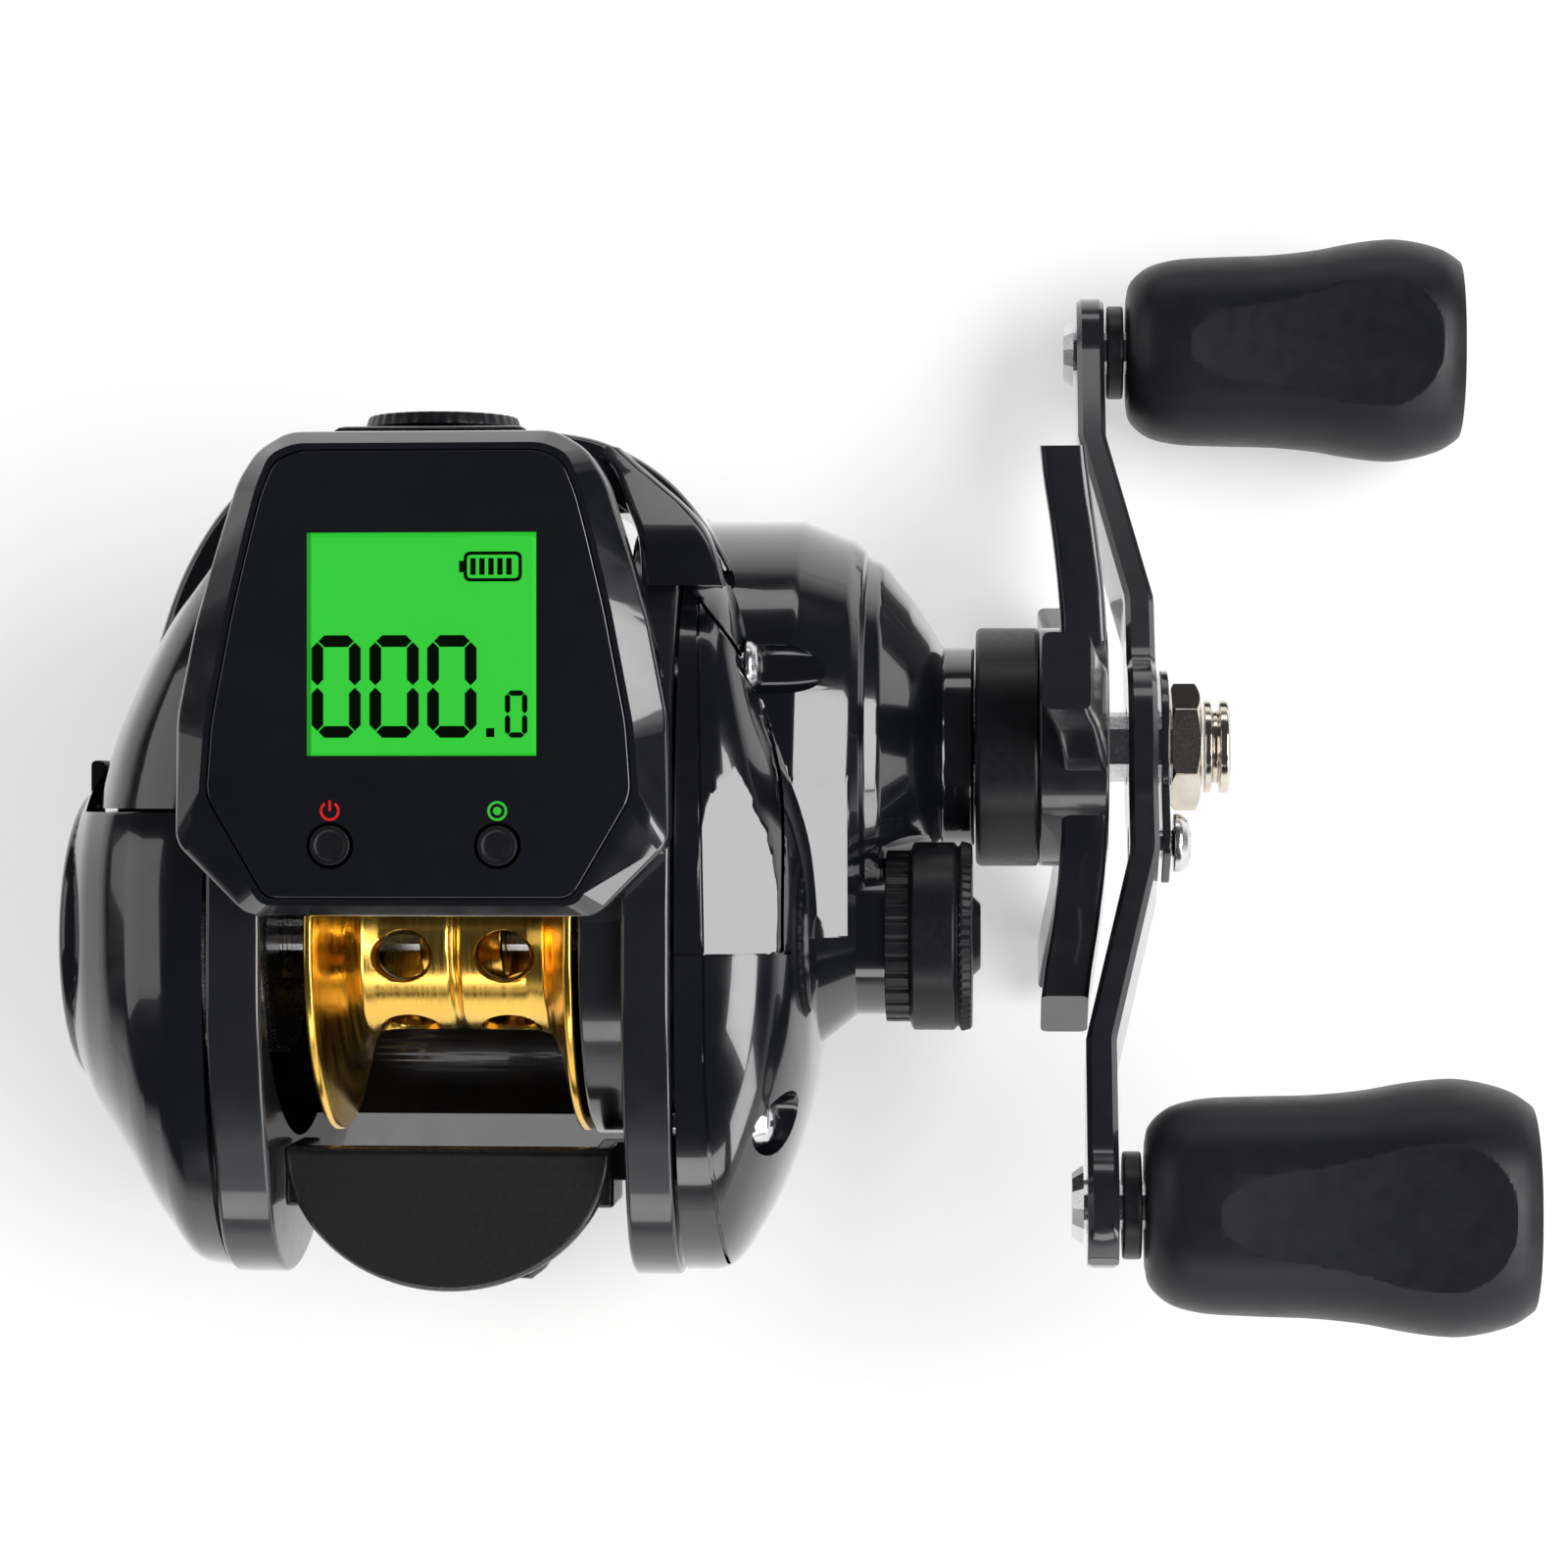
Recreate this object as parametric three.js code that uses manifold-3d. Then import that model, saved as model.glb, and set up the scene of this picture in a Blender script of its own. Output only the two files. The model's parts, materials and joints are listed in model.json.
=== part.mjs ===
import * as THREE from 'three';
import { mergeVertices } from 'three/addons/utils/BufferGeometryUtils.js';
import Module from 'manifold-3d';

// Low-profile baitcasting reel with a digital line counter, wound with the right hand. Millimetres.
// +X points to the handle, +Y to the rod tip and +Z up. The origin is the middle of the foot's underside.
// Almost every piece is drawn in the deck frame: x as above, v forward and w up, both leaning back with the
// display, with the spool axis at v = w = 0.

// Whole reel
const spoolHeight = 25;
const deckTilt = 15;
const clearance = 0.3;
const cutOverrun = 1;
const shellWall = 1.6;
const driveForward = 16;
const driveDrop = 9.25;
const wormReach = 13;
const handleTurn = -33;

// Spool
const spoolRadius = 16.5;
const spoolHalfWidth = 10.9;
const flangeLip = 0.7;
const flangeThickness = 1.1;
const arborRadius = 8;
const arborHalfWidth = 8.2;
const arborWall = 1.2;
const arborGroove = 0.5;
const spoolWeb = 2;
const hubRadius = 3.6;
const hubLength = 7;
const drillRadius = 2.15;
const drillOffset = 4.2;
const drillsPerRow = 6;
const drillTurn = 11;
const shaftRadius = 1.5;
const shaftThinRadius = 1;
const rotorRadius = 9;
const rotorThickness = 0.9;

// Frame
const leftWallInner = 14;
const leftWallThickness = 4.5;
const rightWallInner = 15;
const rightWallThickness = 4;
const bodyRear = 28;
const bodyFront = 35;
const bodyTop = 18.3;
const bodyBottom = 21;
const spoolOpening = 17;
const bridgeThickness = 3.4;
const bridgeStart = -158;
const bridgeEnd = -42;
const footPadLength = 18;
const footPadWidth = 15;
const footPadTop = 6.5;
const frontBarRear = 20;
const frontBarDepth = 5;
const frontBarTop = 16.6;
const frontBarHeight = 2.4;

// Reel foot
const footLength = 52;
const footWidth = 16;
const footThickness = 2.2;
const footTipThickness = 1;
const footRise = 4;
const stemWidth = 13;
const stemLength = 17;
const footScrewSpacing = 11;
const screwHeadRadius = 2;
const screwShankRadius = 1.1;
const screwHeadHeight = 1.2;
const screwSlotWidth = 0.6;
const screwSlotDepth = 0.5;
const screwHeadRecess = 0.2;

// Palm side cover with its brake dial
const palmReach = 13.7;
const palmFront = 17;
const dialRadius = 6.6;
const dialThickness = 1.5;
const dialStemRadius = 2;
const dialRibHeight = 1;
const dialRibWidth = 1.6;
const dialStemLength = 6;
const palmBossRadius = 4.5;
const palmRimRadius = 12.4;
const palmRimDepth = 3;
const palmRimInset = 0.4;
const bearingOuterRadius = 3;
const bearingWidth = 2.5;
const magnetRingRadius = 10;
const magnetRingThickness = 2;
const magnetSetBack = 1.2;
const leverForward = 13;
const leverHeight = 3;
const leverRadius = 1.8;
const leverLength = 6;
const leverThickness = 1.2;
const leverRecess = 0.9;

// Handle side cover
const coverReach = 11;
const coverFront = 31;
const gearGap = 0.575;
const gearBoxShoulder = 29.2;
const gearBoxRim = 35.2;
const gearBoxNeck = 40.3;
const gearBoxEnd = 43;
const neckRadius = 8.6;
const tensionBossRadius = 6.6;
const tensionBossEnd = 40.2;
const counterBoreRadius = 2.3;
const coverScrewHead = 25.4;

// Tension knob on the spool axis
const tensionStart = 35.7;
const tensionFluteEnd = 37.7;
const tensionRimStart = 41.4;
const tensionEnd = 42.9;
const tensionFluteRadius = 7.2;
const tensionRadius = 7.9;
const tensionDomeRadius = 3.6;
const tensionDomeHeight = 1.2;
const tensionEndWall = 2.3;

// Front hood
const hoodTop = 6;
const hoodBottom = 12;
const hoodFront = 42.4;
const hoodHalfWidth = 28.4;
const hoodShoulderRear = 10.8;
const hoodShoulderTop = 16.8;
const hoodShoulderReach = 30.1;
const hoodRightRear = 30.5;
const windowHalfWidth = 12.5;
const windowTop = 0.3;
const windowBottom = 9.5;

// Display housing
const podBottom = 18.6;
const podWaist = 22.65;
const podBandHeight = 3.3;
const podTop = 26;
const podHalfWidth = 19.5;
const podRear = 2.4;
const podFront = 40.5;
const podFloor = 1.4;
const podUnderInset = 1.2;
const faceHalfWidth = 16.7;
const faceRear = 3.9;
const faceFront = 38.8;
const faceThickness = 1.6;
const faceLedge = 1.6;
const lcdWidth = 18;
const lcdLength = 17.4;
const lcdOffset = 0.3;
const lcdRear = 15;
const lcdMargin = 1;
const boardThickness = 1;
const boardHalfWidth = 10.4;
const boardRear = 6.6;
const boardFront = 35.6;
const buttonRadius = 1.55;
const buttonFlange = 0.5;
const buttonFlangeHeight = 0.8;
const buttonProud = 0.2;
const buttonForward = 8;
const powerButtonX = -6.9;
const setButtonX = 6.25;
const buttonTravel = 0.6;
const batteryRadius = 5;
const batteryThickness = 2.5;
const batteryBoxHalfWidth = 8;
const batteryBoxFront = 41.3;
const batteryBoxLength = 11;
const skirtHalfWidth = 12.6;
const skirtFootHalfWidth = 11.2;
const skirtRear = 20.5;
const skirtFront = 38.4;
const skirtDepth = 10.4;
const capRadius = 6.3;
const capThickness = 1;
const capPlug = 1.4;
const capSlotWidth = 1.5;
const wireHoleRadius = 0.9;

// Gears
const mainTeeth = 63;
const pinionTeeth = 10;
const windDriveTeeth = 36;
const windTeeth = 16;
const mainGearStart = 23.8;
const mainGearWidth = 2.8;
const pinionStart = 20;
const pinionEnd = 29.5;
const pinionCollar = 1;
const pinionGroove = 1.6;
const pinionBodyRadius = 2.9;
const pinionGrooveRadius = 1.9;
const windGearStart = 19.5;
const windGearWidth = 1.8;
const ratchetWidth = 1.2;
const ratchetRadius = 9.6;
const ratchetStep = 1;
const ratchetTeeth = 12;
const dragWasherRadius = 12.5;
const dragWasherThickness = 0.8;
const lightenRadius = 2.4;
const lightenPitch = 9.6;
const lightenCount = 6;

// Drive shaft and its stack
const driveShaftRadius = 3;
const driveShaftTailRadius = 2.5;
const driveShaftTail = 15.9;
const sleeveRadius = 4.3;
const rollerBearingRadius = 6.4;
const rollerBearingWidth = 6;
const springWasherRise = 1.4;

// Drag collar and star
const collarStart = 43.4;
const collarEnd = 48.2;
const collarRadius = 10.3;
const collarWall = 1.5;
const starHubEnd = 54.4;
const starHubRadius = 10.3;
const starRadius = 26;
const starArms = 5;
const starTurn = 5;
const starThickness = 3.9;
const starSweep = 1.9;
const starArmRootWidth = 9.7;
const starArmTipWidth = 7.1;

// Handle
const handleHubStart = 56.1;
const handleThickness = 2.5;
const handleOffset = 3.9;
const handleHubHalf = 13;
const handleBendEnd = 31;
const knobCentre = 44;
const handleEndRadius = 5;
const handleHalfWidth = 4.4;
const handleHubRadius = 7.4;
const retainerThickness = 0.7;
const retainerHalfWidth = 4.9;
const retainerReach = 12.4;
const retainerScrewReach = 9.8;
const retainerScrewRadius = 2.5;
const retainerScrewHead = 1.5;
const nutAcrossFlats = 9.6;
const nutHeight = 2.5;
const nutChamfer = 0.45;
const nutTurn = 28;
const endCapRadius = 4;
const endCapHeight = 2.2;

// Handle knobs
const knobShaftRadius = 2;
const rivetRadius = 3.2;
const rivetThickness = 0.9;
const knobCollarRadius = 4.3;
const knobCollarWidth = 1.5;
const knobLength = 30.6;
const knobRadius = 10.2;
const knobThickness = 17.4;

// Line winding
const wormRadius = 2.2;
const wormGrooveDepth = 0.45;
const wormTurns = 5;
const wormHalfLength = 13;
const wormJournalRadius = 1.6;
const wormTailLength = 2.8;
const guideHalfWidth = 3.5;
const guideRear = 2.8;
const guideFront = 3.3;
const guideTop = 9.6;
const guideBarDrop = 6.4;
const guideBarRadius = 1.1;
const guideFootDrop = 8.3;
const eyeHalfWidth = 1.4;
const eyeBottom = 4;
const eyeTop = 8.2;
const pawlRadius = 1.1;
const pawlHeadRadius = 1.7;
const pawlHeadHeight = 0.8;

// Thumb bar and clutch
const thumbHalfWidth = 13.6;
const thumbFront = -17;
const thumbRear = -28.9;
const thumbTop = 11;
const thumbThickness = 2;
const thumbTravel = 4;
const cheekThickness = 1.6;
const cheekLength = 5;
const cheekBottom = 2.5;
const thumbArmHeight = 3;
const thumbArmLength = 3.2;
const camThickness = 1.1;
const camReach = 13;
const camHeight = 3.8;
const camDrop = 2;
const yokeTravelShare = 0.3;
const yokeThickness = 1;
const yokeRadius = 5.6;
const yokeEarReach = 9;
const yokeEarWidth = 4.4;

// Roundness of the meshes: how many sides each kind of circle has
const bigSides = 32;
const roundSides = 20;
const smallSides = 12;
const boreSides = 8;
const weldDistance = 1e-3;

// Finishes
const glossBlack = { color: 0x08080a, roughness: 0.12, metalness: 0.0 };
const satinBlack = { color: 0x141416, roughness: 0.45, metalness: 0.0 };
const blackMetal = { color: 0x0d0d10, roughness: 0.3, metalness: 0.6 };
const rubber = { color: 0x101113, roughness: 0.6, metalness: 0.0 };
const gold = { color: 0xc98f1e, roughness: 0.22, metalness: 1.0 };
const steel = { color: 0xb8b8ba, roughness: 0.25, metalness: 1.0 };
const nickel = { color: 0xcfc6b4, roughness: 0.2, metalness: 1.0 };
const brass = { color: 0xb08a3c, roughness: 0.35, metalness: 1.0 };
const carbonFibre = { color: 0x1b1b1d, roughness: 0.5, metalness: 0.0 };
const acetal = { color: 0xe6e2d6, roughness: 0.5, metalness: 0.0 };
const greenBoard = { color: 0x14532d, roughness: 0.5, metalness: 0.0 };
const litGreen = { color: 0x32cd32, roughness: 0.3, metalness: 0.0 };

const wasm = await Module();
wasm.setup();

// Places along x that follow from the sizes above
const leftWallOuter = leftWallInner + leftWallThickness;
const rightWallOuter = rightWallInner + rightWallThickness;
const palmStart = leftWallOuter + clearance;
const palmEnd = palmStart + palmReach;
const coverStart = rightWallOuter + clearance;
const coverEnd = coverStart + coverReach;
const dialEnd = palmEnd + dialThickness - clearance;
const handleHubEnd = handleHubStart + handleThickness;
const retainerStart = handleHubEnd + clearance;
const nutStart = retainerStart + retainerThickness + clearance;
const nutEnd = nutStart + nutHeight;
const knobArmFace = handleHubEnd - handleOffset;
const knobCollarStart = knobArmFace + clearance;
const knobStart = knobCollarStart + knobCollarWidth + clearance;
const pinionSeat = pinionStart + pinionCollar;
const mainGearEnd = mainGearStart + mainGearWidth;
const driveSpacing = Math.hypot(driveForward, driveDrop);
const gearModule = (2 * driveSpacing) / (mainTeeth + pinionTeeth);
const windModule = (2 * wormReach) / (windDriveTeeth + windTeeth);
const addendumShare = 0.85;
const dedendumShare = 1.1;
const tipRadius = (teeth, module) => (teeth / 2 + addendumShare) * module;
const gearReach = Math.max(tipRadius(mainTeeth, gearModule), wormReach + tipRadius(windTeeth, windModule));
const gearRoom = gearReach + gearGap;
const gearBoxRadius = gearRoom + shellWall;
const bearingSeat = gearBoxEnd - rollerBearingWidth - 2 * clearance;
const yokeTravel = yokeTravelShare * thumbTravel;
const camOuter = coverStart + clearance + camThickness;
const rightBearingStart = pinionEnd + yokeTravel + 4 * clearance;
const dialRecess = dialThickness / 3;
const magnetSeat = leftWallInner + magnetSetBack;
const leverFace = leverRecess - palmEnd;
const palmTop = bodyTop - clearance;
const palmBottom = bodyBottom - clearance;
const batteryHeight = hoodTop + clearance + capRadius;
const cellEnd = batteryBoxFront - capPlug - clearance;
const cellSeat = cellEnd - batteryThickness - clearance;
const capStart = batteryBoxFront + clearance;
const boardBottom = podBottom + podFloor + clearance;
const boardTop = boardBottom + boardThickness;
const ratchetStart = windGearStart + windGearWidth + clearance;
const washerStart = mainGearEnd + clearance;
const plateStart = washerStart + dragWasherThickness + clearance;
const sleeveStart = plateStart + dragWasherThickness + clearance;

// A closed mesh with shared corners and its faces turned outwards.
function closed(geometry) {
  const bare = new THREE.BufferGeometry();
  bare.setAttribute('position', geometry.getAttribute('position'));
  bare.setIndex(geometry.index);
  const merged = mergeVertices(bare, weldDistance);
  const corners = merged.index.array;
  const kept = [];
  for (let i = 0; i < corners.length; i += 3) {
    const [a, b, c] = corners.slice(i, i + 3);
    if (a !== b && b !== c && c !== a) kept.push(a, b, c);
  }
  merged.setIndex(kept);
  if (signedVolume(merged) < 0) merged.setIndex(kept.reverse());
  return merged;
}

function signedVolume(geometry) {
  const place = geometry.getAttribute('position');
  const corners = geometry.index.array;
  const [a, b, c] = [new THREE.Vector3(), new THREE.Vector3(), new THREE.Vector3()];
  let sum = 0;
  for (let i = 0; i < corners.length; i += 3) {
    a.fromBufferAttribute(place, corners[i]);
    b.fromBufferAttribute(place, corners[i + 1]);
    c.fromBufferAttribute(place, corners[i + 2]);
    sum += a.dot(b.cross(c));
  }
  return sum;
}

function solidOf(geometry) {
  const mesh = closed(geometry);
  const vertProperties = new Float32Array(mesh.getAttribute('position').array);
  const triVerts = new Uint32Array(mesh.index.array);
  return new wasm.Manifold(new wasm.Mesh({ numProp: 3, vertProperties, triVerts }));
}

function geometryOf(solid) {
  const mesh = solid.getMesh();
  const geometry = new THREE.BufferGeometry();
  geometry.setAttribute('position', new THREE.BufferAttribute(mesh.vertProperties, 3));
  geometry.setIndex(new THREE.BufferAttribute(mesh.triVerts, 1));
  return geometry;
}

function cut(base, ...tools) {
  const left = tools.reduce((solid, tool) => solid.subtract(solidOf(tool)), solidOf(base));
  return geometryOf(left);
}

function join(first, ...others) {
  const whole = others.reduce((solid, other) => solid.add(solidOf(other)), solidOf(first));
  return geometryOf(whole);
}

function common(first, second) {
  return geometryOf(solidOf(first).intersect(solidOf(second)));
}

// The frames of the axes: a lathe turns about Y and an extrusion runs along Z, so both are laid over to X.
const latheToX = new THREE.Matrix4().set(0, 1, 0, 0, 0, 0, 1, 0, 1, 0, 0, 0, 0, 0, 0, 1);
const extrusionToX = new THREE.Matrix4().set(0, 0, 1, 0, 1, 0, 0, 0, 0, 1, 0, 0, 0, 0, 0, 1);

// A piece turned about the x axis from pairs of place along x and radius.
function turned(profile, sides = roundSides) {
  const points = profile.map(([x, radius]) => new THREE.Vector2(radius, x));
  if (points[0].x > 0) points.push(points[0].clone());
  return closed(new THREE.LatheGeometry(points, sides).applyMatrix4(latheToX));
}

// The same about the w axis, from pairs of place along w and radius.
function turnedUp(profile, sides = smallSides) {
  return turned(profile, sides).rotateY(-Math.PI / 2);
}

// The same about the v axis, from pairs of place along v and radius.
function turnedForward(profile, sides = roundSides) {
  return turned(profile, sides).rotateZ(Math.PI / 2);
}

function rod(start, end, radius, sides = smallSides) {
  return turned([[start, 0], [start, radius], [end, radius], [end, 0]], sides);
}

function ringAlong(start, end, inner, outer, sides = roundSides) {
  return turned([[start, inner], [start, outer], [end, outer], [end, inner]], sides);
}

// The outline run anticlockwise, without points that fall on the one before them.
function distinct(points) {
  const kept = points.filter((point, i) => point.distanceTo(points.at(i - 1)) > weldDistance);
  return THREE.ShapeUtils.isClockWise(kept) ? kept.reverse() : kept;
}

// A flat outline in v and w, or any closed list of points, made thick along x.
function slabAlongX(points, start, end, holes = []) {
  const shape = new THREE.Shape(distinct(points));
  holes.forEach(([radius, v, w]) => {
    shape.holes.push(new THREE.Path().absarc(v, w, radius, 0, 2 * Math.PI, true));
  });
  const settings = { depth: end - start, bevelEnabled: false, curveSegments: boreSides };
  const slab = new THREE.ExtrudeGeometry(shape, settings).applyMatrix4(extrusionToX);
  return closed(slab.translate(start, 0, 0));
}

// A flat outline in x and v made thick along w.
function slabUp(points, bottom, top) {
  const settings = { depth: top - bottom, bevelEnabled: false };
  const slab = new THREE.ExtrudeGeometry(new THREE.Shape(distinct(points)), settings);
  return closed(slab.translate(0, 0, bottom));
}

function block([x0, x1], [v0, v1], [w0, w1]) {
  const box = new THREE.BoxGeometry(x1 - x0, v1 - v0, w1 - w0);
  return closed(box.translate((x0 + x1) / 2, (v0 + v1) / 2, (w0 + w1) / 2));
}

// A skin over rings that have the same number of points, closed by a fan at each end.
function loft(rings) {
  const count = rings[0].length;
  const middle = (ring) => ring.reduce((sum, p) => sum.add(p), new THREE.Vector3()).divideScalar(count);
  const points = [...rings.flat(), middle(rings[0]), middle(rings[rings.length - 1])];
  const faces = [];
  const [startMiddle, endMiddle] = [points.length - 2, points.length - 1];
  const lastRing = (rings.length - 1) * count;
  for (let i = 0; i < count; i += 1) {
    const next = (i + 1) % count;
    faces.push(startMiddle, next, i, endMiddle, lastRing + i, lastRing + next);
    for (let ring = 0; ring < lastRing; ring += count) {
      faces.push(ring + i, ring + next, ring + count + next);
      faces.push(ring + i, ring + count + next, ring + count + i);
    }
  }
  const geometry = new THREE.BufferGeometry().setFromPoints(points);
  geometry.setIndex(faces);
  return closed(geometry);
}

// A rounded box-like oval across x, with its own reach to each of the four sides.
const ovalSides = 24;
const ovalFullness = 0.8;
function oval(x, rear, front, top, bottom) {
  const full = (value) => Math.sign(value) * Math.abs(value) ** ovalFullness;
  return Array.from({ length: ovalSides }, (_, i) => {
    const angle = (2 * Math.PI * i) / ovalSides;
    const [along, up] = [full(Math.cos(angle)), full(Math.sin(angle))];
    return new THREE.Vector3(x, along * (along > 0 ? front : rear), up * (up > 0 ? top : bottom));
  });
}

// Spur gear outline about the x axis: four corners to a tooth.
const toothCornerShares = [[-0.3, 0], [-0.13, 1], [0.13, 1], [0.3, 0]];
function gearOutline(teeth, module, turn = 0) {
  const pitch = (teeth * module) / 2;
  const root = pitch - dedendumShare * module;
  const tip = pitch + addendumShare * module;
  const points = [];
  for (let tooth = 0; tooth < teeth; tooth += 1) {
    toothCornerShares.forEach(([across, out]) => {
      const angle = (2 * Math.PI * (tooth + across + turn)) / teeth;
      const radius = root + out * (tip - root);
      points.push(new THREE.Vector2(radius * Math.cos(angle), radius * Math.sin(angle)));
    });
  }
  return points;
}

function circle(radius, sides, start = 0) {
  return Array.from({ length: sides }, (_, i) => {
    const angle = start + (2 * Math.PI * i) / sides;
    return new THREE.Vector2(radius * Math.cos(angle), radius * Math.sin(angle));
  });
}

function aroundX(count, make) {
  return Array.from({ length: count }, (_, i) => make(i).rotateX((2 * Math.PI * i) / count));
}

const reel = new THREE.Group();
const deck = new THREE.Group();
deck.position.set(0, 0, spoolHeight);
deck.rotation.x = THREE.MathUtils.degToRad(deckTilt);
reel.add(deck);
const driveAxis = new THREE.Group();
driveAxis.position.set(0, driveForward, -driveDrop);
deck.add(driveAxis);
const handleAxis = new THREE.Group();
handleAxis.rotation.x = THREE.MathUtils.degToRad(handleTurn);
driveAxis.add(handleAxis);
const wormAxis = new THREE.Group();
wormAxis.position.set(0, driveForward + wormReach, -driveDrop);
deck.add(wormAxis);

function piece(parent, name, geometry, finish) {
  const mesh = new THREE.Mesh(geometry, new THREE.MeshStandardMaterial(finish));
  mesh.name = name;
  parent.add(mesh);
  return mesh;
}

// Puts a shape that is drawn about the drive axis where that axis lies in the deck frame.
const atDrive = (geometry) => geometry.translate(0, driveForward, -driveDrop);
const atWorm = (geometry) => geometry.translate(0, driveForward + wormReach, -driveDrop);

// A shape drawn in the upright frame of the foot, seen from the deck frame.
const uprightToDeck = new THREE.Matrix4()
  .makeRotationX(-THREE.MathUtils.degToRad(deckTilt))
  .multiply(new THREE.Matrix4().makeTranslation(0, 0, -spoolHeight));

// Side view of the frame, as shares of its reach forward or back and up or down.
const bodyOutlineShares = [
  [-1, 0.27], [-0.9, 0.62], [-0.62, 0.83], [-0.28, 0.98], [0.08, 1], [0.4, 0.93], [0.7, 0.72], [0.93, 0.42],
  [1, -0.2], [0.97, -0.62], [0.75, -0.9], [0.4, -0.99], [0, -1], [-0.42, -0.88], [-0.76, -0.58], [-0.96, -0.14],
];
const bodyOutlineSteps = 36;
function bodyOutline() {
  const corners = bodyOutlineShares.map(([along, up]) => {
    const v = along * (along > 0 ? bodyFront : bodyRear);
    return new THREE.Vector3(v, up * (up > 0 ? bodyTop : bodyBottom), 0);
  });
  return new THREE.CatmullRomCurve3(corners, true, 'centripetal').getPoints(bodyOutlineSteps).slice(1);
}

const footScrewPlaces = [footScrewSpacing / 2, -footScrewSpacing / 2];
const coverScrewPlaces = {
  cover_screw_upper: [22.5, 10],
  cover_screw_rear: [-14.7, 12],
  cover_screw_lower: [-9, -14.6],
};

function makeFrame() {
  const outline = bodyOutline();
  const leftWall = slabAlongX(outline, -leftWallOuter, -leftWallInner, [[spoolOpening, 0, 0]]);
  const rightWall = slabAlongX(outline, rightWallInner, rightWallOuter);
  const bridgeRadius = spoolOpening + bridgeThickness;
  const [start, end] = [bridgeStart, bridgeEnd].map(THREE.MathUtils.degToRad);
  const arc = new THREE.Shape().absarc(0, 0, bridgeRadius, start, end, false);
  arc.absarc(0, 0, spoolOpening, end, start, true);
  const bridge = slabAlongX(
    arc.getPoints(bigSides / 2), -leftWallOuter + cutOverrun, rightWallInner + cutOverrun,
  );
  const padCore = block(
    [-footPadWidth / 2, footPadWidth / 2],
    [-footPadLength / 2, footPadLength / 2],
    [footRise + clearance, footPadTop],
  ).applyMatrix4(uprightToDeck);
  const frontBar = block(
    [-leftWallInner - cutOverrun, rightWallInner + cutOverrun],
    [frontBarRear, frontBarRear + frontBarDepth],
    [-frontBarTop - frontBarHeight, -frontBarTop],
  );
  const body = join(leftWall, rightWall, bridge, padCore, frontBar);
  const spoolRoom = rod(-leftWallOuter - cutOverrun, rightWallInner, spoolOpening, bigSides);
  const wallPast = rightWallOuter + cutOverrun;
  const pinionBore = rod(rightWallInner - cutOverrun, wallPast, pinionBodyRadius + clearance);
  const tailBore = atDrive(rod(driveShaftTail - clearance, wallPast, driveShaftTailRadius + clearance));
  const wormBores = atWorm(
    rod(-wormHalfLength - wormTailLength - clearance, wallPast, wormJournalRadius + clearance),
  );
  const wormClear = atWorm(rod(-leftWallInner, rightWallInner, wormRadius + clearance));
  const barBore = atWorm(
    rod(-leftWallOuter - cutOverrun, wallPast, guideBarRadius + clearance).translate(0, 0, -guideBarDrop),
  );
  const armSlot = block(
    [rightWallInner - cutOverrun, wallPast],
    [thumbFront - thumbArmLength - clearance, thumbFront + clearance],
    [cheekBottom - thumbTravel - clearance, cheekBottom + thumbArmHeight + clearance],
  );
  const screwHoles = Object.values(coverScrewPlaces).map(([v, w]) => rod(
    rightWallInner + cutOverrun / 2, wallPast, screwShankRadius + clearance, boreSides,
  ).translate(0, v, w));
  const footHoles = footScrewPlaces.map((y) => turnedUp([
    [0, 0], [0, screwShankRadius + clearance],
    [footPadTop, screwShankRadius + clearance], [footPadTop, 0],
  ], boreSides).translate(0, y, 0).applyMatrix4(uprightToDeck));
  return cut(
    body, spoolRoom, pinionBore, tailBore, wormBores, wormClear, barBore, armSlot, ...screwHoles, ...footHoles,
  );
}

// The foot: a tapered plate with a flat underside and a low stem under the frame.
const footSectionShares = [
  [-1, 0.42, 0], [-0.94, 0.62, 0.15], [-0.72, 0.84, 0.5], [-0.4, 1, 1],
  [0.4, 1, 1], [0.72, 0.84, 0.5], [0.94, 0.62, 0.15], [1, 0.42, 0],
];
const footChamferShare = 0.55;
function makeFoot() {
  const rings = footSectionShares.map(([along, wide, thick]) => {
    const y = (along * footLength) / 2;
    const half = (wide * footWidth) / 2;
    const top = footTipThickness + thick * (footThickness - footTipThickness);
    const shoulder = half - footChamferShare * top;
    const section = [
      [-half, 0], [half, 0], [half, top / 2], [shoulder, top], [-shoulder, top], [-half, top / 2],
    ];
    return section.map(([x, z]) => new THREE.Vector3(x, y, z));
  });
  const stem = block(
    [-stemWidth / 2, stemWidth / 2], [-stemLength / 2, stemLength / 2], [footThickness / 2, footRise],
  );
  const holes = footScrewPlaces.map((y) => turnedUp([
    [-cutOverrun, 0], [-cutOverrun, screwHeadRadius + clearance],
    [screwHeadHeight + clearance, screwHeadRadius + clearance],
    [screwHeadHeight + clearance, screwShankRadius + clearance],
    [footRise + cutOverrun, screwShankRadius + clearance], [footRise + cutOverrun, 0],
  ]).translate(0, y, 0));
  return cut(join(loft(rings), stem), ...holes);
}

function slotted(screw, faceAt, width) {
  const slot = block(
    [faceAt - screwSlotDepth, faceAt + cutOverrun], [-screwSlotWidth / 2, screwSlotWidth / 2], [-width, width],
  );
  const cross = slot.clone().rotateX(Math.PI / 2);
  return cut(screw, slot, cross);
}

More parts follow.
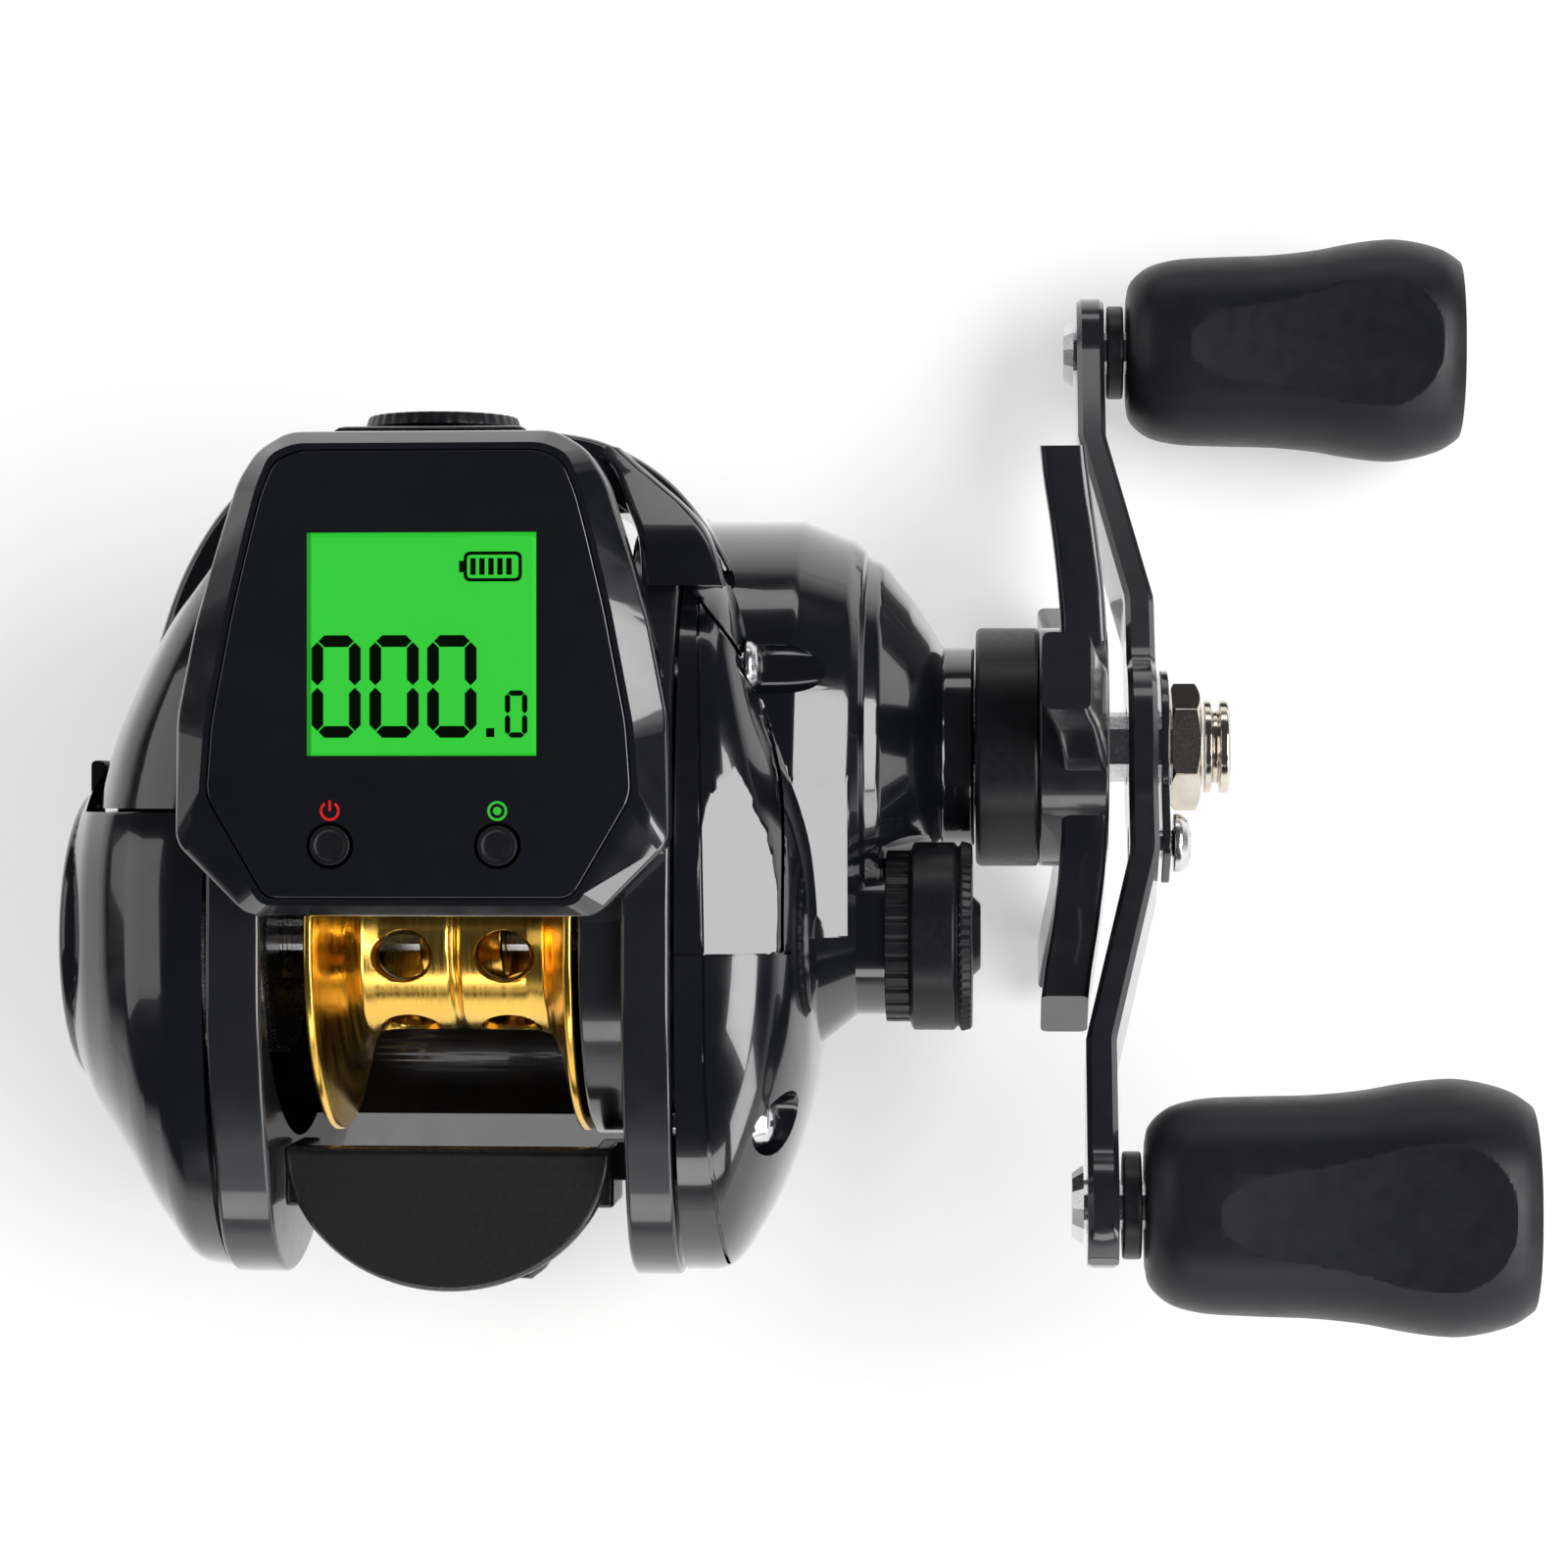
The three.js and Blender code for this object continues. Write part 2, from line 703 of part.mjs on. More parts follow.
// A pan-head screw along x, its head's outer face at the given place.
const panTopShare = 0.7;
const panSlotShare = 0.6;
function crossScrew(tip, faceAt, headHeight, headRadius, shankRadius) {
  const under = faceAt - headHeight;
  const blank = turned([
    [tip, 0], [tip, shankRadius], [under, shankRadius], [under, headRadius],
    [faceAt - headHeight / 3, headRadius], [faceAt, headRadius * panTopShare], [faceAt, 0],
  ], smallSides);
  return slotted(blank, faceAt, headRadius * panSlotShare);
}

function makeFootScrew() {
  const screw = crossScrew(
    -footPadTop + clearance, 0, screwHeadHeight, screwHeadRadius, screwShankRadius,
  );
  return screw.rotateY(Math.PI / 2);
}

// The palm side cover: a dome over ovals that shrink towards the dial.
// Each row is a share of the cover's reach along x, then of its reach to the rear, front, top and bottom.
const palmSectionShares = [
  [0, 1, 1, 1, 1], [0.22, 0.985, 1, 0.985, 0.97], [0.44, 0.83, 0.985, 0.94, 0.92],
  [0.63, 0.66, 0.96, 0.86, 0.83], [0.8, 0.54, 0.86, 0.75, 0.72], [0.92, 0.43, 0.71, 0.62, 0.6],
  [1, 0.33, 0.52, 0.5, 0.47],
];
function palmRings(inset, reach) {
  return palmSectionShares.map(([out, rear, front, top, bottom]) => oval(
    -palmStart - out * reach, rear * bodyRear - inset, front * palmFront - inset,
    top * palmTop - inset, bottom * palmBottom - inset,
  ));
}

// What the front hood's left shoulder takes out of the palm cover's upper front.
function shoulderRoom(gap) {
  return block(
    [-hoodShoulderReach - gap, -leftWallOuter],
    [hoodShoulderRear - gap, bodyFront], [-gap, bodyTop + cutOverrun],
  );
}

function makePalmCover() {
  const outer = loft(palmRings(0, palmReach));
  const inner = loft(palmRings(shellWall, palmReach - shellWall));
  const mouth = loft([-palmStart - cutOverrun, -palmStart + cutOverrun].map((x) => oval(
    x, bodyRear - shellWall, palmFront - shellWall, palmTop - shellWall, palmBottom - shellWall,
  )));
  const boss = rod(-palmEnd + shellWall / 2, -magnetSeat, palmBossRadius, roundSides);
  const bearingBore = rod(-palmEnd + shellWall, -magnetSeat + cutOverrun, bearingOuterRadius + clearance);
  const stemHole = rod(-palmEnd - cutOverrun, -palmEnd + shellWall + cutOverrun, dialStemRadius + clearance);
  const dialSeat = rod(-palmEnd - cutOverrun, -palmEnd + dialRecess, dialRadius + clearance, roundSides);
  const shell = cut(outer, inner, mouth, shoulderRoom(clearance));
  const rim = cut(
    rod(palmRimInset - palmEnd, palmRimInset + palmRimDepth - palmEnd, palmRimRadius, roundSides),
    inner, shoulderRoom(clearance),
  );
  const leverHole = rod(
    -palmEnd - cutOverrun, -palmStart, leverRadius + clearance,
  ).translate(0, leverForward, -leverHeight);
  const leverSeat = rod(
    -palmEnd - cutOverrun, leverFace + leverThickness + clearance, leverLength + clearance, roundSides,
  ).translate(0, leverForward, -leverHeight);
  return cut(join(shell, rim, boss), bearingBore, stemHole, dialSeat, leverHole, leverSeat);
}

const dialCrownShare = 0.85;
function makeBrakeDial() {
  const inner = -palmEnd + dialRecess - clearance;
  const dial = turned([
    [-dialEnd, 0], [-dialEnd, dialRadius * dialCrownShare], [-dialEnd + dialThickness / 3, dialRadius],
    [inner, dialRadius], [inner, dialStemRadius], [dialStemLength - palmEnd, dialStemRadius],
    [dialStemLength - palmEnd, 0],
  ]);
  const rib = block(
    [-dialEnd - dialRibHeight / 2, -dialEnd + dialRibHeight / 2],
    [-dialRadius * dialCrownShare, dialRadius * dialCrownShare], [-dialRibWidth / 2, dialRibWidth / 2],
  );
  return join(dial, rib);
}

function makeMagnetRing() {
  return ringAlong(
    -magnetSeat - magnetRingThickness, -magnetSeat, palmBossRadius + clearance, magnetRingRadius,
  );
}

function bearing(start, bore) {
  return ringAlong(start, start + bearingWidth, bore + clearance / 2, bearingOuterRadius, smallSides);
}

function makeLockLever() {
  const stem = rod(leverFace + leverThickness / 2, -palmStart - clearance, leverRadius - clearance);
  const tab = block(
    [leverFace, leverFace + leverThickness], [-leverRadius, leverRadius], [-leverRadius, leverLength],
  );
  return join(stem, tab).translate(0, leverForward, -leverHeight);
}

// Handle side cover: shares as for the palm cover.
const coverSectionShares = [
  [0, 1, 1, 1, 1], [0.33, 0.985, 0.96, 0.985, 0.97], [0.6, 0.84, 0.72, 0.93, 0.92],
  [0.8, 0.67, 0.52, 0.82, 0.8], [0.93, 0.5, 0.38, 0.66, 0.66], [1, 0.33, 0.26, 0.48, 0.45],
];
// Gear box turned about the drive axis: shares of the way to its rim or on to its neck, and of its radius.
const gearBoxSideShares = [[0, 1], [0.5, 0.94], [0.83, 0.88], [1, 0.82]];
const gearBoxConeShares = [[0.47, 0.66], [0.78, 0.53]];
const gearRoomShares = [[0, 1], [0.5, 0.93], [0.73, 0.75], [1, 0.55]];
function alongShares(shares, start, end, radius) {
  return shares.map(([along, wide]) => [start + along * (end - start), wide * radius]);
}

function makeSideCover() {
  const shell = loft(coverSectionShares.map(([out, rear, front, top, bottom]) => oval(
    coverStart + out * coverReach, rear * bodyRear, front * coverFront, top * palmTop, bottom * palmBottom,
  )));
  const gearBox = atDrive(turned([
    [coverStart, 0], [coverStart, gearBoxRadius],
    ...alongShares(gearBoxSideShares, gearBoxShoulder, gearBoxRim, gearBoxRadius),
    ...alongShares(gearBoxConeShares, gearBoxRim, gearBoxNeck, gearBoxRadius),
    [gearBoxNeck, neckRadius], [gearBoxEnd, neckRadius], [gearBoxEnd, 0],
  ], bigSides));
  const bulk = join(shell, gearBox);
  const mouth = coverStart - cutOverrun;
  const gearCavity = atDrive(turned([
    [mouth, 0], [mouth, gearRoom], ...alongShares(gearRoomShares, gearBoxShoulder, gearBoxRim, gearRoom),
    [bearingSeat, rollerBearingRadius + clearance],
    [gearBoxEnd + cutOverrun, rollerBearingRadius + clearance], [gearBoxEnd + cutOverrun, 0],
  ], bigSides));
  const pinionRoom = rod(mouth, pinionEnd + yokeTravel + 2 * clearance, yokeRadius + 2 * clearance);
  const clutchRoom = block(
    [mouth, camOuter + yokeThickness + yokeTravel + 3 * clearance],
    [thumbFront - thumbArmLength - 2 * clearance, 0],
    [-camDrop - thumbTravel - 2 * clearance, cheekBottom + thumbArmHeight + 2 * clearance],
  );
  const yokeRoom = block(
    [mouth, camOuter + yokeThickness + yokeTravel + 3 * clearance],
    [-yokeEarWidth / 2 - 2 * clearance, yokeEarWidth / 2 + 2 * clearance],
    [-yokeEarReach - 2 * clearance, yokeEarReach + 2 * clearance],
  );
  const scallop = rod(
    tensionStart - clearance, gearBoxEnd + cutOverrun, tensionRadius + 2 * clearance, roundSides,
  );
  const boss = rod(coverEnd - cutOverrun, tensionBossEnd, tensionBossRadius, roundSides);
  const bearingBore = rod(
    rightBearingStart - clearance, tensionBossEnd + cutOverrun, bearingOuterRadius + clearance,
  );
  const shaftBore = rod(mouth, tensionBossEnd, shaftThinRadius + clearance);
  const screwBores = Object.values(coverScrewPlaces).map(([v, w]) => turned([
    [mouth, 0], [mouth, screwShankRadius + clearance],
    [coverScrewHead - screwHeadHeight, screwShankRadius + clearance],
    [coverScrewHead - screwHeadHeight, counterBoreRadius], [gearBoxRim, counterBoreRadius], [gearBoxRim, 0],
  ], smallSides).translate(0, v, w));
  const hollow = cut(bulk, gearCavity, clutchRoom, yokeRoom, scallop);
  return cut(join(hollow, boss), pinionRoom, bearingBore, shaftBore, ...screwBores);
}

const rimGrooveShare = 0.95;
const rimEdgeShare = 0.97;
const domeTopShare = 0.8;
function makeTensionKnob() {
  const inner = tensionBossRadius + clearance;
  const seat = tensionEnd - tensionEndWall;
  return turned([
    [tensionStart, inner], [tensionStart, tensionFluteRadius], [tensionFluteEnd, tensionFluteRadius],
    [tensionFluteEnd + clearance, tensionRadius], [tensionRimStart, tensionRadius],
    [tensionRimStart + clearance, tensionRadius * rimGrooveShare],
    [tensionRimStart + 2 * clearance, tensionRadius], [tensionEnd, tensionRadius * rimEdgeShare],
    [tensionEnd, tensionDomeRadius], [tensionEnd + tensionDomeHeight, tensionDomeRadius * domeTopShare],
    [tensionEnd + tensionDomeHeight, 0], [seat, 0], [seat, inner],
  ], roundSides);
}

// Front hood: half of its edges in plan, as shares of its half width and of the way from shoulder to front.
const hoodOuterShares = [[1, 0.2], [0.92, 0.4], [0.8, 0.65], [0.64, 0.85], [0.46, 0.955], [0.3, 0.99], [0, 1]];
const hoodInnerShares = [[0.66, 0.45], [0.58, 0.62], [0.52, 0.73], [0.44, 0.79], [0.3, 0.8], [0, 0.8]];
function hoodPoint([across, along], side) {
  const v = hoodShoulderRear + along * (hoodFront - hoodShoulderRear);
  return new THREE.Vector2(side * across * hoodHalfWidth, v);
}
function makeHood() {
  const outer = hoodOuterShares.map((share) => hoodPoint(share, 1));
  const outerLeft = hoodOuterShares.slice(0, -1).reverse().map((share) => hoodPoint(share, -1));
  const inner = hoodInnerShares.map((share) => hoodPoint(share, 1));
  const innerLeft = hoodInnerShares.slice(0, -1).reverse().map((share) => hoodPoint(share, -1));
  const edge = [...outer, ...outerLeft, ...innerLeft.reverse(), ...inner.reverse()];
  const band = slabUp(edge, -hoodBottom, hoodTop);
  const windowHole = block(
    [-windowHalfWidth, windowHalfWidth],
    [bodyFront - cutOverrun, hoodFront + cutOverrun], [-windowBottom, windowTop],
  );
  const walls = block(
    [-leftWallOuter - clearance, rightWallOuter + clearance], [0, bodyFront + clearance],
    [-bodyBottom, bodyTop],
  );
  const gearBoxClear = atDrive(rod(coverStart - cutOverrun, gearBoxEnd, gearBoxRadius + clearance, bigSides));
  const coverClear = block(
    [coverStart - cutOverrun, gearBoxEnd], [0, hoodRightRear], [-bodyBottom, bodyTop],
  );
  const shoulder = common(loft(shoulderRings()), shoulderRoom(0));
  const wallEnd = slabAlongX(
    bodyOutline(), rightWallInner - clearance, rightWallOuter + clearance,
  ).translate(0, clearance, clearance);
  return join(
    cut(band, windowHole, walls, gearBoxClear, coverClear), cut(shoulder, walls), cut(hoodArm(), wallEnd),
  );
}

// The right arm lies over the front end of the wall: the way forward, then its edges across and up.
const armStationShares = [
  [0.573, 0.57, 0.81, 0.667, 0.786], [0.684, 0.556, 0.771, 0.53, 0.68],
  [0.785, 0.514, 0.69, 0.18, 0.554], [0.88, 0.465, 0.57, 0.18, 0.43], [0.95, 0.39, 0.48, 0.18, 0.345],
];
function hoodArm() {
  return loft(armStationShares.map(([along, inner, outer, low, high]) => {
    const v = hoodShoulderRear + along * (hoodFront - hoodShoulderRear);
    const corners = [[inner, low], [outer, low], [outer, high], [inner, high]];
    return corners.map(([across, up]) => (
      new THREE.Vector3(across * hoodHalfWidth, v, up * hoodShoulderTop)
    ));
  }));
}

// The left shoulder runs forward and falls from the palm cover's top to the band.
const shoulderStationShares = [
  [0, 1, 0.95], [0.165, 0.955, 0.95], [0.325, 0.885, 0.91], [0.48, 0.805, 0.81], [0.64, 0.7, 0.65],
  [0.78, 0.6, 0.48],
];
const shoulderCornerShares = [
  [0, 0], [1, 0], [1, 0.35], [0.95, 0.6], [0.83, 0.8], [0.65, 0.92], [0.4, 0.99], [0, 1],
];
function shoulderRings() {
  return shoulderStationShares.map(([along, wide, high]) => {
    const v = hoodShoulderRear + along * (hoodFront - hoodShoulderRear);
    const reach = wide * hoodShoulderReach - leftWallInner;
    const height = high * hoodShoulderTop;
    const corner = ([out, up]) => new THREE.Vector3(-leftWallInner - out * reach, v, up * height);
    return shoulderCornerShares.map(corner);
  });
}

// Display housing: half outlines in plan, as shares of half width and of the way from rear to front.
const podEdgeShares = [
  [0.708, 0], [1, 0.15], [0.995, 0.41], [0.918, 0.607], [0.846, 0.735], [0.75, 0.895], [0.67, 0.96], [0.54, 1],
];
const faceEdgeShares = [
  [0.72, 0], [1, 0.23], [0.976, 0.39], [0.874, 0.645],
  [0.79, 0.814], [0.74, 0.905], [0.677, 0.977], [0.563, 1],
];
function deckOutline(shares, halfWidth, rear, front, inset = 0) {
  const half = shares.map(([across, along]) => new THREE.Vector2(
    across * (halfWidth - inset), rear + inset + along * (front - rear - 2 * inset),
  ));
  return [...half, ...half.slice().reverse().map((p) => new THREE.Vector2(-p.x, p.y))];
}
const atHeight = (outline, w) => outline.map((p) => new THREE.Vector3(p.x, p.y, w));
const faceOutline = (inset) => deckOutline(faceEdgeShares, faceHalfWidth, faceRear, faceFront, inset);
const podOutline = (inset) => deckOutline(podEdgeShares, podHalfWidth, podRear, podFront, inset);

function makePod() {
  const shell = loft([
    atHeight(podOutline(podUnderInset), podBottom), atHeight(podOutline(0), podWaist - podBandHeight / 2),
    atHeight(podOutline(0), podWaist + podBandHeight / 2), atHeight(faceOutline(-2 * clearance), podTop),
  ]);
  const batteryBox = block(
    [-batteryBoxHalfWidth, batteryBoxHalfWidth], [batteryBoxFront - batteryBoxLength, batteryBoxFront],
    [batteryHeight - capRadius, podBottom + podFloor],
  );
  const skirtTop = podBottom + podFloor;
  const skirtPlan = (half, back, front) => [
    new THREE.Vector2(half, back), new THREE.Vector2(half, front - half / 3),
    new THREE.Vector2(half * 2 / 3, front), new THREE.Vector2(-half * 2 / 3, front),
    new THREE.Vector2(-half, front - half / 3), new THREE.Vector2(-half, back),
  ];
  const skirt = loft([
    atHeight(skirtPlan(skirtFootHalfWidth, skirtRear + skirtDepth / 3, skirtFront), podBottom - skirtDepth),
    atHeight(skirtPlan(skirtHalfWidth, skirtRear, skirtFront), podBottom - skirtDepth / 2),
    atHeight(skirtPlan(skirtHalfWidth, skirtRear, skirtFront), skirtTop),
  ]);
  const facePocket = slabUp(faceOutline(-clearance), podTop - faceThickness - clearance, podTop + cutOverrun);
  const cavity = slabUp(faceOutline(faceLedge), podBottom + podFloor, podTop);
  const cellBore = turnedForward([
    [cellSeat, 0], [cellSeat, batteryRadius + clearance],
    [batteryBoxFront + cutOverrun, batteryRadius + clearance], [batteryBoxFront + cutOverrun, 0],
  ]).translate(0, 0, batteryHeight);
  const wireHole = turnedUp([
    [batteryHeight, 0], [batteryHeight, wireHoleRadius], [podWaist, wireHoleRadius], [podWaist, 0],
  ], boreSides).translate(0, cellSeat + wireHoleRadius, 0);
  return cut(join(shell, skirt, batteryBox), facePocket, cavity, cellBore, wireHole);
}
const buttonPlaces = { power_button: powerButtonX, set_button: setButtonX };
function makeFace() {
  const plate = slabUp(faceOutline(0), podTop - faceThickness, podTop);
  const opening = block(
    [lcdOffset - lcdWidth / 2, lcdOffset + lcdWidth / 2], [lcdRear, lcdRear + lcdLength],
    [podTop - faceThickness - cutOverrun, podTop + cutOverrun],
  );
  const holes = Object.values(buttonPlaces).map((x) => turnedUp([
    [podWaist, 0], [podWaist, buttonRadius + clearance],
    [podTop + cutOverrun, buttonRadius + clearance], [podTop + cutOverrun, 0],
  ]).translate(x, buttonForward, 0));
  return cut(plate, opening, ...holes);
}

function makeBoard() {
  return block([-boardHalfWidth, boardHalfWidth], [boardRear, boardFront], [boardBottom, boardTop]);
}

function makeLcd() {
  const half = lcdWidth / 2;
  const lcdFront = lcdRear + lcdLength;
  const base = block(
    [lcdOffset - half - lcdMargin, lcdOffset + half + lcdMargin], [lcdRear - lcdMargin, lcdFront + lcdMargin],
    [boardTop + clearance, podTop - faceThickness - clearance],
  );
  const glass = block(
    [lcdOffset - half + clearance, lcdOffset + half - clearance],
    [lcdRear + clearance, lcdFront - clearance],
    [podTop - faceThickness - 2 * clearance, podTop - clearance / 2],
  );
  return join(base, glass);
}

function makeButton() {
  const flangeTop = podTop - faceThickness - clearance;
  const bottom = boardTop + buttonTravel + clearance;
  return turnedUp([
    [bottom, 0], [bottom, buttonRadius], [flangeTop - buttonFlangeHeight, buttonRadius],
    [flangeTop - buttonFlangeHeight, buttonRadius + buttonFlange], [flangeTop, buttonRadius + buttonFlange],
    [flangeTop, buttonRadius], [podTop + buttonProud, buttonRadius], [podTop + buttonProud, 0],
  ], roundSides);
}

function makeCell() {
  return turnedForward([
    [cellEnd - batteryThickness, 0], [cellEnd - batteryThickness, batteryRadius],
    [cellEnd, batteryRadius], [cellEnd, 0],
  ]);
}

const capEdgeShare = 0.95;
const capSlotShare = 0.6;
function makeBatteryCap() {
  const plugRadius = batteryRadius;
  const cap = turnedForward([
    [capStart - capPlug, 0], [capStart - capPlug, plugRadius], [capStart, plugRadius], [capStart, capRadius],
    [capStart + capThickness, capRadius * capEdgeShare], [capStart + capThickness, 0],
  ]);
  const slot = block(
    [-capRadius * capSlotShare, capRadius * capSlotShare],
    [capStart + capThickness / 2, capStart + capThickness + cutOverrun], [-capSlotWidth / 2, capSlotWidth / 2],
  );
  return cut(cap, slot);
}

// Spool: half of its profile from the hub out to the rim and back along the line side.
const flareShare = 0.3;
const flareOutShare = 0.35;
function makeSpool() {
  const bore = shaftRadius + clearance;
  const web = spoolWeb / 2;
  const hub = hubLength / 2;
  const underArbor = arborRadius - arborWall;
  const flareRadius = arborRadius + (spoolRadius - arborRadius) * flareShare;
  const flareOut = arborHalfWidth + (spoolHalfWidth - arborHalfWidth) * flareOutShare;
  const half = [
    [hub, bore], [hub, hubRadius], [web, hubRadius], [web, underArbor], [arborHalfWidth, underArbor],
    [flareOut + flangeThickness / 2, flareRadius], [spoolHalfWidth, spoolRadius - flangeLip],
    [spoolHalfWidth, spoolRadius], [spoolHalfWidth - flangeLip, spoolRadius],
    [spoolHalfWidth - flangeThickness, spoolRadius - 2 * flangeLip],
    [flareOut - flangeThickness / 2, flareRadius],
    [arborHalfWidth - flangeThickness / 2, arborRadius + arborGroove],
    [arborHalfWidth - 2 * flangeThickness, arborRadius], [arborGroove, arborRadius],
    [0, arborRadius - arborGroove],
  ];
  const mirrored = half.slice(0, -1).reverse().map(([x, r]) => [-x, r]);
  const drills = [-1, 1].flatMap((side) => aroundX(drillsPerRow, () => turnedUp([
    [underArbor - cutOverrun, 0], [underArbor - cutOverrun, drillRadius],
    [arborRadius + cutOverrun, drillRadius], [arborRadius + cutOverrun, 0],
  ], boreSides).translate(side * drillOffset, 0, 0).rotateX(THREE.MathUtils.degToRad(drillTurn))));
  return cut(turned([...half, ...mirrored], bigSides), ...drills);
}

function makeSpoolShaft() {
  const left = -magnetSeat - bearingWidth - clearance;
  const right = tensionEnd - tensionEndWall - clearance;
  const step = spoolHalfWidth + cutOverrun;
  return turned([
    [left, 0], [left, shaftRadius], [step, shaftRadius], [step, shaftThinRadius],
    [right, shaftThinRadius], [right, 0],
  ], smallSides);
}

function makeBrakeRotor() {
  const outer = -spoolHalfWidth - clearance;
  return ringAlong(outer - rotorThickness, outer, shaftRadius + clearance, rotorRadius);
}

// The teeth start at the groove, because they slide along the main gear when the clutch opens.
function makePinion() {
  const bore = shaftThinRadius + clearance;
  const toothStart = pinionSeat + pinionGroove;
  const body = turned([
    [pinionStart, bore], [pinionStart, pinionBodyRadius], [pinionSeat, pinionBodyRadius],
    [pinionSeat, pinionGrooveRadius], [toothStart + clearance, pinionGrooveRadius],
    [toothStart + clearance, bore],
  ], smallSides);
  const outline = gearOutline(pinionTeeth, gearModule, pinionPhase);
  return join(body, slabAlongX(outline, toothStart, pinionEnd, [[bore, 0, 0]]));
}

// The two gears meet on the line between their axes, where a tooth of one faces a gap of the other.
const meshAngle = Math.atan2(driveDrop, -driveForward);
const mainPhase = (meshAngle / (2 * Math.PI)) * mainTeeth;
const pinionPhase = (((meshAngle + Math.PI) / (2 * Math.PI)) * pinionTeeth) + 0.5;
function makeMainGear() {
  const holes = circle(lightenPitch, lightenCount).map((p) => [lightenRadius, p.x, p.y]);
  const outline = gearOutline(mainTeeth, gearModule, mainPhase);
  const bore = [driveShaftRadius + clearance, 0, 0];
  return slabAlongX(outline, mainGearStart, mainGearEnd, [bore, ...holes]);
}

function makeWindDriveGear() {
  const outline = gearOutline(windDriveTeeth, windModule);
  const bore = [driveShaftTailRadius + clearance, 0, 0];
  return slabAlongX(outline, windGearStart, windGearStart + windGearWidth, [bore]);
}

function makeWormGear() {
  const outline = gearOutline(windTeeth, windModule, 0.5);
  const bore = [wormJournalRadius + clearance, 0, 0];
  return slabAlongX(outline, windGearStart, windGearStart + windGearWidth, [bore]);
}

const ratchetPeakShare = 0.15;
function makeRatchet() {
  const points = [];
  for (let tooth = 0; tooth < ratchetTeeth; tooth += 1) {
    [[0, ratchetRadius - ratchetStep], [ratchetPeakShare, ratchetRadius]].forEach(([across, radius]) => {
      const angle = (2 * Math.PI * (tooth + across)) / ratchetTeeth;
      points.push(new THREE.Vector2(radius * Math.cos(angle), radius * Math.sin(angle)));
    });
  }
  return slabAlongX(points, ratchetStart, ratchetStart + ratchetWidth, [[driveShaftRadius + clearance, 0, 0]]);
}

function makeWasher(start) {
  return ringAlong(start, start + dragWasherThickness, driveShaftRadius + clearance, dragWasherRadius);
}

function makeSleeve() {
  return ringAlong(sleeveStart, gearBoxEnd, driveShaftRadius + clearance, sleeveRadius, smallSides);
}

function makeRollerBearing() {
  const end = gearBoxEnd - clearance;
  return ringAlong(end - rollerBearingWidth, end, sleeveRadius + clearance, rollerBearingRadius);
}

function makeDriveShaft() {
  const step = ratchetStart - clearance / 2;
  const end = nutEnd - clearance;
  return turned([
    [driveShaftTail, 0], [driveShaftTail, driveShaftTailRadius], [step, driveShaftTailRadius],
    [step, driveShaftRadius], [end, driveShaftRadius], [end, 0],
  ], smallSides);
}

function makeDragCollar() {
  const inner = collarRadius - collarWall;
  return turned([
    [collarStart, sleeveRadius + clearance], [collarStart, collarRadius - clearance],
    [collarStart + clearance, collarRadius], [collarEnd, collarRadius], [collarEnd, inner],
    [collarStart + collarWall, inner],
    [collarStart + collarWall, sleeveRadius + clearance],
  ], bigSides);
}

function makeSpringWasher() {
  const outerAt = collarStart + collarWall + clearance;
  const innerAt = outerAt + springWasherRise;
  const inner = driveShaftRadius + clearance;
  const outer = collarRadius - collarWall - 2 * clearance;
  return turned([
    [outerAt, outer], [outerAt + dragWasherThickness, outer], [innerAt + dragWasherThickness, inner],
    [innerAt, inner],
  ]);
}

// Star drag: a hub with arms that sweep back towards the body.
const starStationShares = [
  [0.25, 0, 1], [0.45, 0.1, 0.95], [0.7, 0.45, 0.8], [0.9, 0.85, 0.86], [0.97, 1, 0.9], [1, 1, 0.6],
];
function starArm() {
  return loft(starStationShares.map(([along, swept, wide]) => {
    const r = along * starRadius;
    const outer = starHubEnd - swept * starSweep;
    const inner = outer - starThickness;
    const half = (wide * (starArmTipWidth + (starArmRootWidth - starArmTipWidth) * (1 - along))) / 2;
    const section = [[inner, -half], [outer, -half], [outer, half], [inner, half]];
    return section.map(([x, across]) => new THREE.Vector3(x, r, across));
  }));
}
function makeStar() {
  const start = collarEnd + clearance;
  const hub = rod(start, starHubEnd, starHubRadius, bigSides);
  const bore = rod(start - cutOverrun, starHubEnd + cutOverrun, driveShaftRadius + clearance);
  const arms = aroundX(starArms, () => starArm().rotateX(THREE.MathUtils.degToRad(starTurn)));
  return cut(join(hub, ...arms), bore);
}

